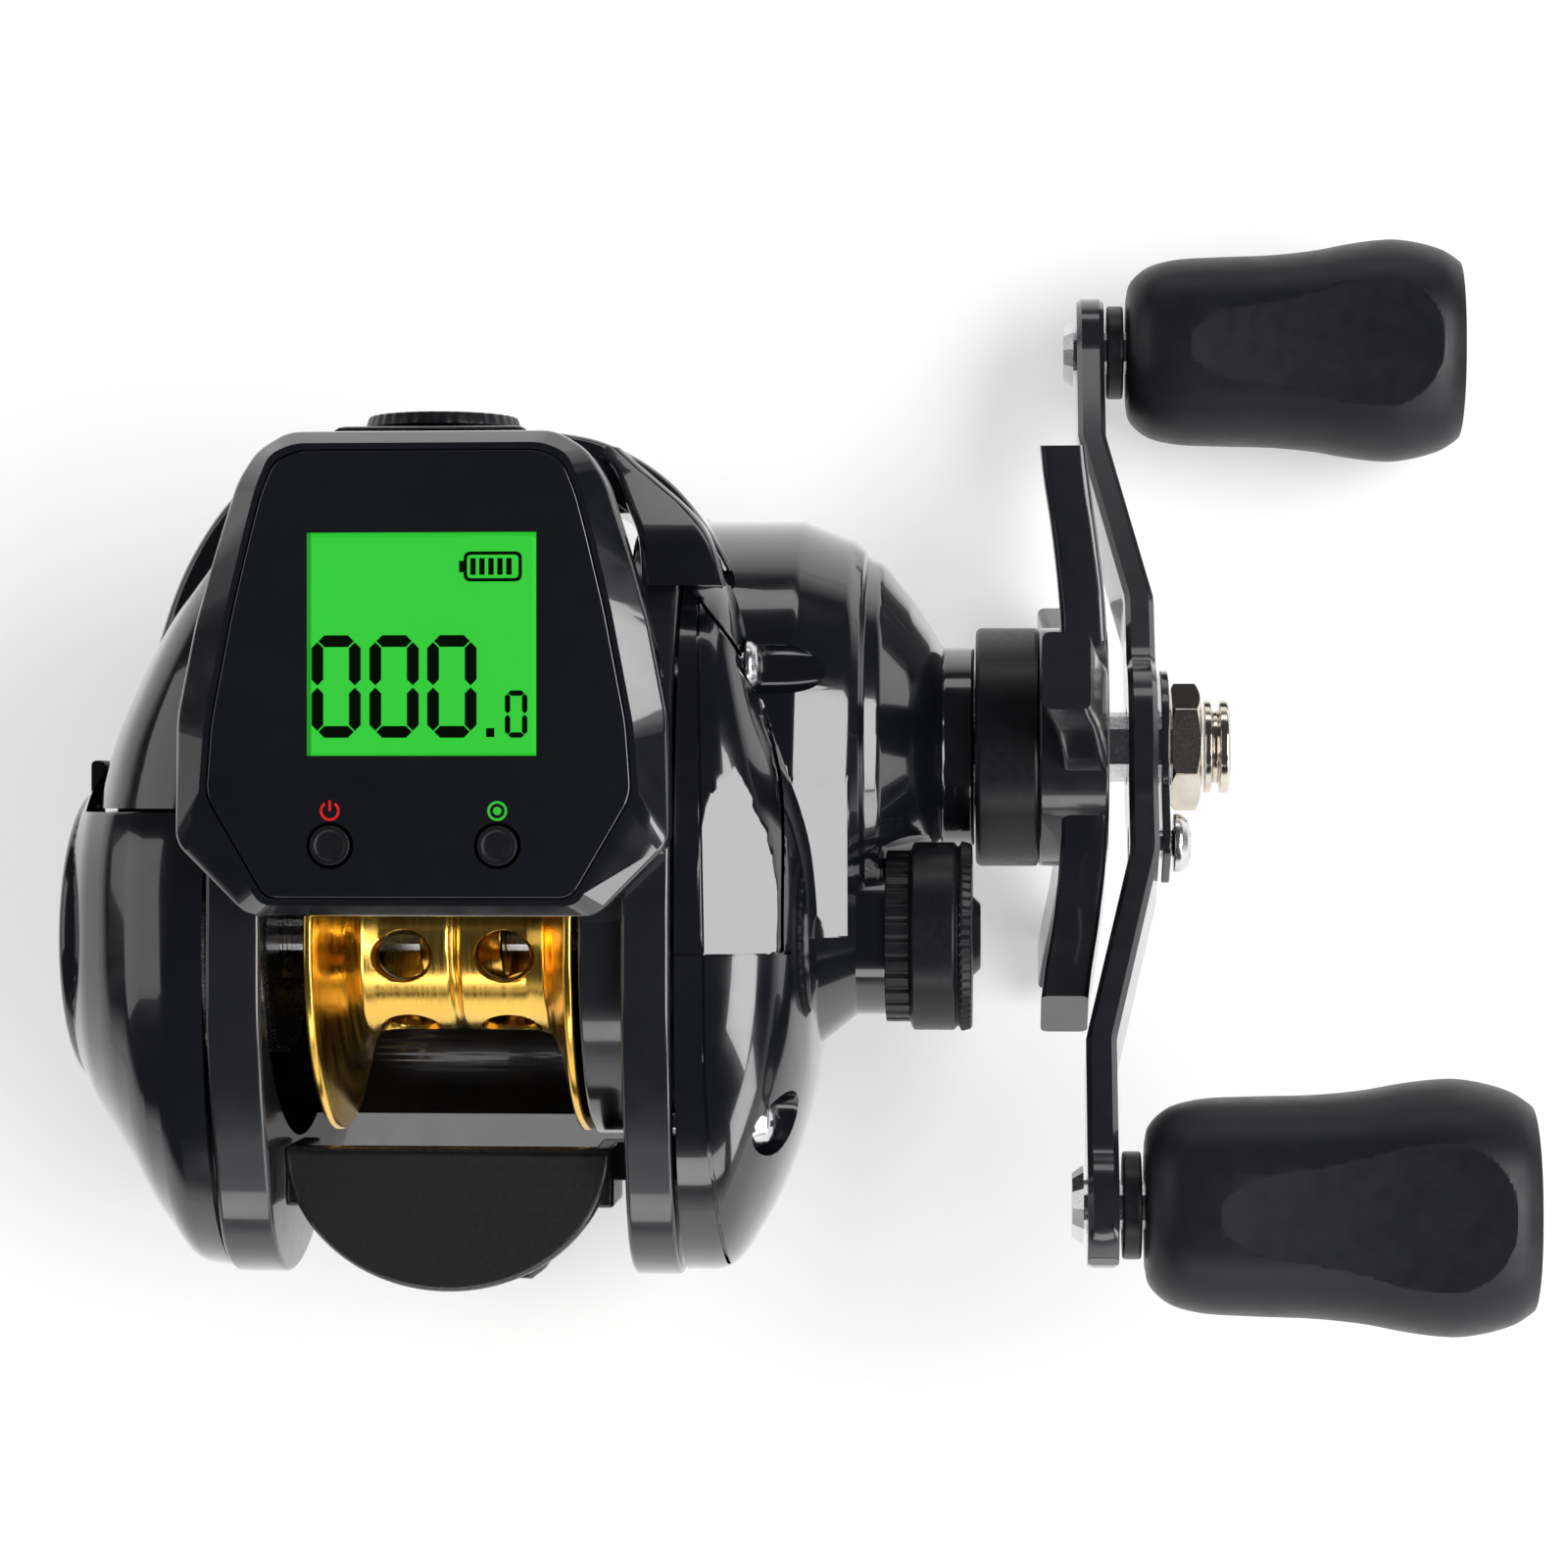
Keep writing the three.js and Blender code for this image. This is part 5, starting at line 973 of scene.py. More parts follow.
def oval(x, rear, front, top, bottom, sides=ROUND_SIDES, fullness=OVAL_FULLNESS):
    """A box-like oval across x, with its own reach to each side."""
    ring = []
    for i in range(sides):
        along, up = math.cos(2 * math.pi * i / sides), math.sin(2 * math.pi * i / sides)
        along, up = (math.copysign(abs(part) ** fullness, part) for part in (along, up))
        ring.append(Vector((x, along * (front if along > 0 else rear), up * (top if up > 0 else bottom))))
    return ring


def cover_rings(sections, start, reach, front_reach, depth):
    """Ovals of a domed side cover, moved inwards by the depth."""
    return [oval(
        start + out * reach, rear * BODY_REAR - depth, front * front_reach - depth,
        top * (BODY_TOP - GAP) - depth, bottom * (BODY_BOTTOM - GAP) - depth,
    ) for out, rear, front, top, bottom in sections]


def body_outline():
    corners = [
        (along * (BODY_FRONT if along > 0 else BODY_REAR), up * (BODY_TOP if up > 0 else BODY_BOTTOM))
        for along, up in BODY_OUTLINE
    ]
    return curved(corners, 9, closed=True)


def make_frame():
    outline = body_outline()
    left = slab_along(outline, -LEFT_OUTER, -LEFT_INNER, SOFT_EDGE / 2)
    right = slab_along(outline, RIGHT_INNER, RIGHT_OUTER, SOFT_EDGE / 2)
    bridge = slab_along(
        [*arc(BRIDGE_RADIUS, *BRIDGE_SWEEP), *arc(OPENING_RADIUS, *BRIDGE_SWEEP)[::-1]],
        -LEFT_OUTER + PAST, RIGHT_INNER + PAST, 0,
    )
    to_deck = Matrix.Rotation(-DECK_TILT, 4, "X") @ Matrix.Translation((0, 0, -SPOOL_HEIGHT))
    half_width, half_length, top = FOOT_PAD
    pad = placed(block(
        (-half_width, half_width), (-half_length, half_length), (FOOT_RISE + GAP, top), EDGE, SOFT_EDGE,
    ), to_deck)
    bar = block((-LEFT_INNER - PAST, RIGHT_INNER + PAST), *FRONT_BAR, EDGE)
    whole = joined(left, right, bridge, pad, bar)
    opening = rod(-LEFT_OUTER - PAST, RIGHT_INNER, OPENING_RADIUS, BIG_SIDES)
    ring_start, ring_inner, ring_outer = SPOOL_RING
    ring = tube(ring_start, RIGHT_INNER + PAST / 2, ring_inner, ring_outer, EDGE, BIG_SIDES)
    wall_past = RIGHT_OUTER + PAST
    slot_rear, slot_w = THUMB_SLOT
    bores = [
        rod(RIGHT_INNER - PAST, wall_past, SHAFT_HOLE),
        at_drive(rod(RIGHT_INNER, wall_past, DRIVE_HOLE)),
        at_worm(rod(-WORM_HALF - WORM_SEAT, wall_past, JOURNAL_RADIUS + GAP)),
        at_worm(rod(-LEFT_OUTER - PAST, wall_past, GUIDE_BAR_RADIUS + GAP), GUIDE_BAR_W),
        at_worm(rod(-LEFT_INNER, RIGHT_INNER, WORM_RADIUS + GAP)),
        block((RIGHT_INNER - PAST, wall_past), (THUMB_FRONT - slot_rear, THUMB_FRONT + GAP), slot_w),
        *(shifted(rod(RIGHT_INNER + PAST / 2, wall_past, SCREW_SHANK + GAP), 0, *place)
          for place, _, _ in COVER_SCREWS.values()),
        *(placed(rod(0, top, SCREW_SHANK + GAP), to_deck @ Matrix.Translation((0, y, 0)) @ X_TO_W)
          for y in FOOT_SCREWS.values()),
    ]
    return cut(joined(cut(whole, opening), ring), *bores)


def make_foot():
    rings = []
    for along, wide, thick in curved(FOOT_SECTIONS, 10):
        half = wide * FOOT_WIDTH / 2
        top = FOOT_TIP + max(0, min(1, thick)) * (FOOT_THICK - FOOT_TIP)
        shoulder = half - FOOT_SLOPE * top
        section = eased(
            [(-half, 0), (half, 0), (half, top / 2), (shoulder, top), (-shoulder, top), (-half, top / 2)],
            EDGE, closed=True,
        )
        rings.append([Vector((p.x, along * FOOT_LENGTH / 2, p.y)) for p in section])
    half_width, half_length, corner = FOOT_STEM
    stem = block(
        (-half_width, half_width), (-half_length, half_length), (FOOT_THICK / 2, FOOT_RISE), EDGE, corner,
    )
    seat = SCREW_HEAD_HEIGHT + GAP
    hole = lathe([
        (-PAST, SCREW_HEAD_RADIUS + GAP), (seat, SCREW_HEAD_RADIUS + GAP), (seat, SCREW_SHANK + GAP),
        (FOOT_RISE + PAST, SCREW_SHANK + GAP),
    ], sides=SMALL_SIDES)
    holes = [placed(hole, Matrix.Translation((0, y, 0)) @ X_TO_W) for y in FOOT_SCREWS.values()]
    return cut(joined(skin(rings), stem), *holes)


def make_screw(tip, face, head, radius):
    """A pan-head screw along x with a cross recess."""
    under = face - head
    crown = [(face - down * head, wide * radius) for down, wide in SCREW_CROWN]
    profile = [(tip, SCREW_SHANK), (under, SCREW_SHANK), (under, radius), *crown]
    blank = lathe(profile, SCREW_EDGE, SMALL_SIDES)
    arm, width, deep = SCREW_CROSS[0] * radius, SCREW_CROSS[1] * radius, SCREW_CROSS[2] * head
    first = block((face - deep, face + PAST), (-width, width), (-arm, arm))
    second = block((face - deep, face + PAST), (-arm, arm), (-width, width))
    return cut(blank, joined(first, second))


def palm_skin(depth):
    sections = eased(PALM_SECTIONS, PALM_CREASE)
    return skin(cover_rings(sections, -PALM_START, depth - PALM_REACH, PALM_FRONT, depth))


def make_palm_cover():
    inner = palm_skin(SHELL_WALL)
    mouth_sections = [(side * PAST, 1, 1, 1, 1) for side in (-1, 1)]
    mouth = skin(cover_rings(mouth_sections, -PALM_START, 1, PALM_FRONT, SHELL_WALL))
    shoulder = block(
        (-SHOULDER_REACH - GAP, -LEFT_OUTER), (SHOULDER_REAR - GAP, BODY_FRONT), (-GAP, BODY_TOP + PAST),
    )
    rim = rod(-PALM_RIM[1], -PALM_RIM[0], PALM_RIM_RADIUS, BIG_SIDES, SOFT_EDGE)
    boss = rod(-PALM_END + SHELL_WALL / 2, -MAGNET_SEAT, PALM_BOSS_RADIUS)
    outside = -PALM_END - PAST
    tab_end = LEVER_RECESS - PALM_END + LEVER_THICK + GAP
    bores = [
        rod(-PALM_END + SHELL_WALL, -MAGNET_SEAT + PAST, BEARING_RADIUS + GAP),
        rod(outside, -PALM_END + SHELL_WALL + PAST, DIAL_STEM + GAP),
        rod(outside, -PALM_END + DIAL_THICK / 3, DIAL_RADIUS + GAP, ROUND_SIDES),
        shifted(rod(outside, -PALM_START, LEVER_RADIUS + GAP), 0, *LEVER),
        shifted(rod(outside, tab_end, LEVER_LENGTH + GAP), 0, *LEVER),
    ]
    return cut(joined(cut(palm_skin(0), inner, mouth, shoulder), cut(rim, inner, shoulder), boss), *bores)


def make_brake_dial():
    end = -PALM_END - DIAL_THICK + GAP
    inner = -PALM_END + DIAL_THICK / 3 - GAP
    stem_end = DIAL_STEM_LENGTH - PALM_END
    grooves, groove_depth, groove_share = DIAL_GROOVES

    def grooved(x, angle):
        return -groove_depth if x < inner + THIN_EDGE and math.cos(grooves * angle) > groove_share else 0

    dial = lathe([
        (end, DIAL_CHAMFER * DIAL_RADIUS), (end + DIAL_THICK / 3, DIAL_RADIUS), (inner, DIAL_RADIUS),
        (inner, DIAL_STEM), (stem_end, DIAL_STEM),
    ], FINE_EDGE, BIG_SIDES, grooved)
    proud, long_share, half, edge = DIAL_RIB
    reach = long_share * DIAL_RADIUS
    return joined(dial, block((end - proud, end + proud), (-reach, reach), (-half, half), edge))


def make_lock_lever():
    face = LEVER_RECESS - PALM_END
    stem = rod(face + LEVER_THICK / 2, -PALM_START - GAP, LEVER_RADIUS - GAP)
    tab = block(
        (face, face + LEVER_THICK), (-LEVER_RADIUS, LEVER_RADIUS), (-LEVER_RADIUS, LEVER_LENGTH),
        FINE_EDGE, LEVER_CORNER,
    )
    return shifted(joined(stem, tab), 0, *LEVER)


def above_plate(depth):
    """The room over the cover's flat middle plate, which leans to the handle and a little forward."""
    left_x, left_w = PLATE_LEFT
    fall_x, fall_v = PLATE_FALL
    low, high = [], []
    for x, v in rectangle((RIGHT_OUTER, COVER_START + COVER_REACH + PAST), (PLATE_REAR, BODY_FRONT)):
        low.append(Vector((x, v, left_w - depth - fall_x * (x - left_x) - fall_v * v)))
        high.append(Vector((x, v, BODY_TOP + PAST)))
    return skin([low, high])


def cover_skin(depth):
    sections = curved(COVER_SECTIONS, 6)
    whole = skin(cover_rings(sections, COVER_START, COVER_REACH - depth, COVER_FRONT, depth))
    return cut(whole, above_plate(depth))


def seam_walls():
    """Thin upright walls that follow the lines of the cover's plates."""
    walls = []
    for line in PLATE_SEAMS:
        path = curved(line, 6) if len(line) > 2 else [Vector(point) for point in line]
        for i in range(len(path) - 1):
            along = (path[i + 1] - path[i]).normalized() * SEAM / 2
            across = Vector((-along.y, along.x))
            start, end = path[i] - along / 2, path[i + 1] + along / 2
            corners = [start - across, end - across, end + across, start + across]
            walls.append(slab_up(corners, 0, BODY_TOP + PAST, 0))
    return walls


def gear_saddle():
    """The flat top that runs from the gear box down to the tension knob's boss."""
    out = Vector((-math.sin(SADDLE_TURN), math.cos(SADDLE_TURN)))
    down = Vector((-math.cos(SADDLE_TURN), -math.sin(SADDLE_TURN)))
    middle = Vector((DRIVE_V, DRIVE_W))
    rings = []
    for x, share in ((COVER_START + PAST, 1), *GEAR_BOX_SHAPE[:2]):
        top = middle + out * (share * GEAR_BOX_RADIUS - FINE_EDGE)
        end = top + down * (top.x - SADDLE_REAR) / math.cos(SADDLE_TURN)
        corners = [top, end, Vector((SADDLE_REAR, DRIVE_W / 2)), middle]
        rings.append([Vector((x, p.x, p.y)) for p in corners])
    return skin(rings)


def make_side_cover():
    shell = joined(cut(cover_skin(0), *seam_walls()), cover_skin(SEAM_DEPTH))
    mouth = COVER_START - PAST
    end = GEAR_BOX_END + PAST
    gear_box = at_drive(lathe([
        (COVER_START, GEAR_BOX_RADIUS), *((x, share * GEAR_BOX_RADIUS) for x, share in GEAR_BOX_SHAPE),
        (GEAR_BOX_NECK, NECK_RADIUS), (GEAR_BOX_END, NECK_RADIUS),
    ], EDGE, BIG_SIDES))
    cavity = at_drive(lathe([
        (mouth, GEAR_ROOM), *((x, share * GEAR_ROOM) for x, share in GEAR_ROOM_SHAPE),
        (BEARING_SEAT, ROLLER_RADIUS + GAP), (end, ROLLER_RADIUS + GAP),
    ]))
    rooms = [block((mouth, CLUTCH_ROOM_END), v, w) for v, w in (CLUTCH_ROOM, YOKE_ROOM)]
    scallop = rod(TENSION_START - GAP, end, TENSION_RADIUS + 2 * GAP, ROUND_SIDES)
    hollow = cut(joined(shell, gear_box, gear_saddle(), lathe(TENSION_FLARE)), cavity, *rooms, scallop)
    boss_start = COVER_START + COVER_REACH - PAST
    boss = rod(boss_start, TENSION_BOSS_END, TENSION_BOSS_RADIUS, ROUND_SIDES, FINE_EDGE)
    screw_seat = COVER_SCREW_HEAD - SCREW_HEAD_HEIGHT
    bores = [
        rod(mouth, *PINION_ROOM),
        rod(RIGHT_BEARING_START - GAP, TENSION_BOSS_END + PAST, BEARING_RADIUS + GAP),
        rod(mouth, TENSION_BOSS_END, SHAFT_THIN_RADIUS + GAP),
        *(shifted(lathe([
            (mouth, SCREW_SHANK + GAP), (screw_seat, SCREW_SHANK + GAP),
            *shares(curved(COUNTERBORE_SHAPE), screw_seat, COUNTERBORE_END, radius),
        ], sides=SMALL_SIDES), 0, *place) for place, radius, _ in COVER_SCREWS.values()),
    ]
    return cut(joined(hollow, boss), *bores)


def make_tension_knob():
    inner = TENSION_BOSS_RADIUS + GAP
    dome_radius, dome_height, dome_share = TENSION_DOME
    dome_top = TENSION_END + dome_height
    profile = eased([
        (TENSION_START, inner), (TENSION_START, TENSION_FLUTE_RADIUS),
        (TENSION_FLUTE_END, TENSION_FLUTE_RADIUS), (TENSION_FLUTE_END + GAP, TENSION_RADIUS),
        (TENSION_RIM, TENSION_RADIUS), (TENSION_RIM + GAP, TENSION_GROOVE * TENSION_RADIUS),
        (TENSION_RIM + 2 * GAP, TENSION_RADIUS), (TENSION_END, TENSION_FACE * TENSION_RADIUS),
        (TENSION_END, dome_radius), (dome_top, dome_share * dome_radius), (dome_top, 0),
        (TENSION_SEAT, 0), (TENSION_SEAT, inner),
    ], FINE_EDGE)

    def knurl(x, angle):
        if TENSION_START < x < TENSION_FLUTE_END:
            flutes, depth = TENSION_FLUTES
            return depth * min(0, math.cos(flutes * angle))
        if TENSION_RIM + 1.8 * GAP < x < TENSION_END - THIN_EDGE:
            ridges, height = TENSION_RIDGES
            return height * math.cos(ridges * angle)
        return 0

    return turned(profile, KNURL_SIDES, ripple=knurl)


def hood_outline(line):
    """The line and its mirror image, from the right end round the front to the left end."""
    half = [
        Vector((across * HOOD_HALF, SHOULDER_REAR + along * (HOOD_FRONT - SHOULDER_REAR)))
        for across, along in line
    ]
    return half + [Vector((-p.x, p.y)) for p in half[-2::-1]]


def make_hood():
    outer, inner = curved(hood_outline(HOOD_OUTER), 8), curved(hood_outline(HOOD_INNER), 8)
    band = slab_up(eased([*outer, *reversed(inner)], EDGE, 1, closed=True), HOOD_BOTTOM, HOOD_TOP, SOFT_EDGE)
    half, low, high, corner = WINDOW
    window = hole_forward((-half, half), (low, high), BODY_FRONT - PAST, HOOD_FRONT + PAST, corner)
    walls = block((-LEFT_OUTER - GAP, RIGHT_OUTER + GAP), (0, BODY_FRONT + GAP), (-BODY_BOTTOM, BODY_TOP))
    box_clear = at_drive(rod(COVER_START - PAST, GEAR_BOX_END, GEAR_BOX_RADIUS + GAP, BIG_SIDES))
    cover_clear = block((COVER_START - PAST, GEAR_BOX_END), (0, HOOD_RIGHT_REAR), (-BODY_BOTTOM, BODY_TOP))

    def way_forward(along):
        return SHOULDER_REAR + along * (HOOD_FRONT - SHOULDER_REAR)

    shoulder_rings = []
    for along, wide, high in curved(SHOULDER_STATIONS, 8):
        reach = wide * SHOULDER_REACH - LEFT_INNER
        corners = [(out * reach, up * high * SHOULDER_TOP) for out, up in SHOULDER_CORNERS]
        ring = eased(corners, SHOULDER_EASE, closed=True)
        shoulder_rings.append([Vector((-LEFT_INNER - p.x, way_forward(along), p.y)) for p in ring])
    room = block((-SHOULDER_REACH, -LEFT_OUTER), (SHOULDER_REAR, BODY_FRONT), (0, BODY_TOP + PAST))
    shoulder = common(skin(shoulder_rings), room)
    arm_rings = []
    for along, inner_share, outer_share, low_share, high_share in curved(HOOD_ARM_STATIONS, 6):
        across = (inner_share * HOOD_HALF, outer_share * HOOD_HALF)
        up = (low_share * SHOULDER_TOP, high_share * SHOULDER_TOP)
        arm_rings.append([Vector((p.x, way_forward(along), p.y)) for p in rounded(across, up, HOOD_ARM_EASE)])
    wall_end = shifted(slab_along(body_outline(), RIGHT_INNER - GAP, RIGHT_OUTER + GAP, 0), 0, GAP, GAP)
    return joined(
        cut(band, window, walls, box_clear, cover_clear), cut(shoulder, walls),
        cut(skin(arm_rings), wall_end),
    )


def deck_outline(half, half_width, rear, front, depth=0):
    """Half an outline in shares of its width and length, and its mirror image, moved inwards by the depth."""
    side = [
        (across * (half_width - depth), rear + depth + along * (front - rear - 2 * depth))
        for across, along in half
    ]
    return side + [(-x, v) for x, v in reversed(side)]


def pod_outline(depth=0):
    return deck_outline(POD_EDGE, POD_HALF, POD_REAR, POD_FRONT, depth)


def face_outline(depth):
    return deck_outline(FACE_EDGE, FACE_HALF, FACE_REAR, FACE_FRONT, depth)


def skirt_ring(half, rear, w):
    chamfered = [
        (half, rear), (half, SKIRT_FRONT - half / 3), (half * 2 / 3, SKIRT_FRONT),
        (-half * 2 / 3, SKIRT_FRONT), (-half, SKIRT_FRONT - half / 3), (-half, rear),
    ]
    return [Vector((p.x, p.y, w)) for p in eased(chamfered, POD_CORNER, closed=True)]


def make_pod():
    levels = [
        (POD_BOTTOM, pod_outline(POD_UNDER_INSET)), (POD_BAND[0], pod_outline()),
        (POD_BAND[1], pod_outline()), (POD_TOP, face_outline(-2 * GAP)),
    ]
    eased_levels = [[Vector((p.x, p.y, w)) for p in eased(line, POD_EASE, closed=True)] for w, line in levels]
    shell = skin([list(ring) for ring in zip(*(eased(column, EDGE) for column in zip(*eased_levels)))])
    floor_top = POD_BOTTOM + POD_FLOOR
    box_x, box_v, box_bottom = BATTERY_BOX
    battery_box = block(box_x, box_v, (box_bottom, floor_top), EDGE, POD_CORNER)
    foot_half, half = SKIRT_HALF
    skirt = skin([
        skirt_ring(foot_half, SKIRT_REAR + SKIRT_DEPTH / 3, POD_BOTTOM - SKIRT_DEPTH),
        skirt_ring(half, SKIRT_REAR, POD_BOTTOM - SKIRT_DEPTH / 2),
        skirt_ring(half, SKIRT_REAR, floor_top),
    ])
    pocket = slab_up(
        eased(face_outline(-FACE_SEAM), POD_EASE, closed=True), POD_TOP - FACE_THICK - GAP, POD_TOP + PAST, 0,
    )
    cavity = slab_up(face_outline(FACE_LEDGE), floor_top, POD_TOP, 0)
    cell = forward(rod(CELL_SEAT, box_v[1] + PAST, CELL_RADIUS + GAP), w=BATTERY_W)
    wire = upright(rod(BATTERY_W, POD_BAND[1], WIRE_HOLE), v=CELL_SEAT + WIRE_HOLE)
    return cut(joined(shell, skirt, battery_box), pocket, cavity, cell, wire)


def make_face():
    plate = slab_up(
        eased(face_outline(0), POD_EASE, closed=True), POD_TOP - FACE_THICK, POD_TOP, FINE_EDGE,
    )
    opening = block(LCD_X, LCD_V, (POD_BAND[1], POD_TOP + PAST))
    hole = rod(POD_BAND[0], POD_TOP + PAST, BUTTON_RADIUS + GAP)
    return cut(plate, opening, *(upright(hole, x, BUTTON_V) for x in BUTTONS.values()))


def make_lcd():
    def grown(span, by):
        return span[0] - by, span[1] + by

    under_face = POD_TOP - FACE_THICK - GAP
    base = block(grown(LCD_X, LCD_MARGIN), grown(LCD_V, LCD_MARGIN), (BOARD_TOP + GAP, under_face), FINE_EDGE)
    glass = block(
        grown(LCD_X, -GAP), grown(LCD_V, -GAP), (POD_TOP - FACE_THICK - 2 * GAP, POD_TOP - GAP / 2),
        FINE_EDGE / 3,
    )
    return joined(base, glass)


def make_button():
    flange, flange_height = BUTTON_FLANGE
    rim, rim_drop, dish = BUTTON_DISH
    start = BOARD_TOP + BUTTON_TRAVEL + GAP
    top = POD_TOP - FACE_THICK - GAP
    crown = POD_TOP + BUTTON_PROUD
    return upright(lathe([
        (start, BUTTON_RADIUS), (top - flange_height, BUTTON_RADIUS),
        (top - flange_height, BUTTON_RADIUS + flange), (top, BUTTON_RADIUS + flange), (top, BUTTON_RADIUS),
        (crown, BUTTON_RADIUS), (crown, BUTTON_RADIUS - rim), (crown - dish, BUTTON_RADIUS - rim_drop),
    ], THIN_EDGE, SMALL_SIDES))


def make_battery_cap():
    front = CAP_START + CAP_THICK
    ridges, height = CAP_RIDGES
    long_share, width, deep = CAP_SLOT
    cap = forward(lathe([
        (CAP_START - CAP_PLUG, CELL_RADIUS), (CAP_START, CELL_RADIUS), (CAP_START, CAP_RADIUS),
        (front, CAP_CHAMFER * CAP_RADIUS),
    ], FINE_EDGE, BIG_SIDES, lambda x, angle: height * math.cos(ridges * angle) * (x > CAP_START)))
    reach = long_share * CAP_RADIUS
    return cut(cap, block((-reach, reach), (front - deep, front + PAST), (-width / 2, width / 2)))


def make_spool():
    bore = SHAFT_RADIUS + GAP
    under = ARBOR_RADIUS - ARBOR_WALL
    flare_radius = ARBOR_RADIUS + (SPOOL_RADIUS - ARBOR_RADIUS) * SPOOL_FLARE[0]
    flare_out = ARBOR_HALF + (SPOOL_HALF - ARBOR_HALF) * SPOOL_FLARE[1]
    half = [
        (HUB_HALF, bore), (HUB_HALF, HUB_RADIUS), (WEB_HALF, HUB_RADIUS), (WEB_HALF, under),
        (ARBOR_HALF, under), (flare_out + FLANGE / 2, flare_radius), (SPOOL_HALF, SPOOL_RADIUS - FLANGE_LIP),
        (SPOOL_HALF, SPOOL_RADIUS), (SPOOL_HALF - FLANGE_LIP, SPOOL_RADIUS),
        (SPOOL_HALF - FLANGE, SPOOL_RADIUS - 2 * FLANGE_LIP), (flare_out - FLANGE / 2, flare_radius),
        (ARBOR_HALF - FLANGE / 2, ARBOR_RADIUS + ARBOR_GROOVE), (ARBOR_HALF - 2 * FLANGE, ARBOR_RADIUS),
        (ARBOR_GROOVE, ARBOR_RADIUS), (0, ARBOR_RADIUS - ARBOR_GROOVE),
    ]
    drum = hoop([*half, *((-x, r) for x, r in half[-2::-1])], SPOOL_EDGE, BIG_SIDES)
    drill = upright(lathe([
        (under - PAST, DRILL_RADIUS), (ARBOR_RADIUS - DRILL_COUNTERSINK, DRILL_RADIUS),
        (ARBOR_RADIUS + PAST, DRILL_RADIUS + PAST),
    ], sides=SMALL_SIDES))
    turns = [Matrix.Rotation(2 * math.pi * i / DRILLS + DRILL_TURN, 4, "X") for i in range(DRILLS)]
    return cut(drum, *(
        placed(shifted(drill, side * DRILL_OFFSET), turn) for side in (-1, 1) for turn in turns
    ))


def make_thumb_bar():
    sweep = THUMB_REAR - THUMB_FRONT
    turns = [math.pi * i / SMALL_SIDES for i in range(SMALL_SIDES + 1)]
    half_oval = [(-THUMB_HALF * math.cos(turn), THUMB_FRONT + sweep * math.sin(turn)) for turn in turns]
    outline = eased(half_oval, THUMB_EDGE, 2, closed=True)
    pad = slab_up(outline, THUMB_TOP - THUMB_THICK, THUMB_TOP, THUMB_EDGE)
    thick, length, bottom = CHEEK
    cheeks = [
        block(sorted((side * THUMB_HALF, side * (THUMB_HALF - thick))), (THUMB_FRONT - length, THUMB_FRONT),
              (bottom, THUMB_TOP - THUMB_THICK / 2), EDGE)
        for side in (-1, 1)
    ]
    arm_length, arm_height = THUMB_ARM
    arm = block((THUMB_HALF - thick, COVER_START + GAP / 2), (THUMB_FRONT - arm_length, THUMB_FRONT),
                (bottom, bottom + arm_height), FINE_EDGE)
    return joined(pad, *cheeks, arm)


def make_collar():
    start, end = COLLAR
    inner = COLLAR_RADIUS - COLLAR_WALL
    return hoop([
        (start, SLEEVE_RADIUS + GAP), (start, COLLAR_RADIUS - GAP), (start + GAP, COLLAR_RADIUS),
        (end, COLLAR_RADIUS), (end, inner), (start + COLLAR_WALL, inner),
        (start + COLLAR_WALL, SLEEVE_RADIUS + GAP),
    ], EDGE, BIG_SIDES)


def star_arm():
    rings = []
    for along, swept, wide in curved(STAR_STATIONS, 8):
        outer = STAR_HUB_END - swept * STAR_SWEEP
        half = wide * (STAR_TIP_WIDTH + (STAR_ROOT_WIDTH - STAR_TIP_WIDTH) * (1 - along)) / 2
        section = rounded((outer - STAR_THICK, outer), (-half, half), STAR_EDGE)
        rings.append([Vector((p.x, along * STAR_RADIUS, p.y)) for p in section])
    return skin(rings)


def make_star():
    start = COLLAR[1] + FINE_EDGE / 5
    hub = rod(start, STAR_HUB_END, STAR_HUB_RADIUS, BIG_SIDES, EDGE)
    bore = rod(start - PAST, STAR_HUB_END + PAST, SPINDLE_RADIUS + GAP)
    first = placed(star_arm(), Matrix.Rotation(STAR_TURN, 4, "X"))
    arms = [placed(first, Matrix.Rotation(2 * math.pi * i / STAR_ARMS, 4, "X")) for i in range(STAR_ARMS)]
    return cut(joined(hub, *arms), bore)


def arm_half_width(along):
    """Half the handle arm's width at a distance from its middle: hub, bar and knob ends."""
    reach = abs(along)
    hub = math.sqrt(max(0, ARM_HUB_RADIUS**2 - reach**2))
    end = math.sqrt(max(0, ARM_END_RADIUS**2 - (reach - KNOB_CENTRE) ** 2))
    bar = ARM_HALF if reach < KNOB_CENTRE else 0
    return max(hub, end, bar, ARM_LEAST_HALF)


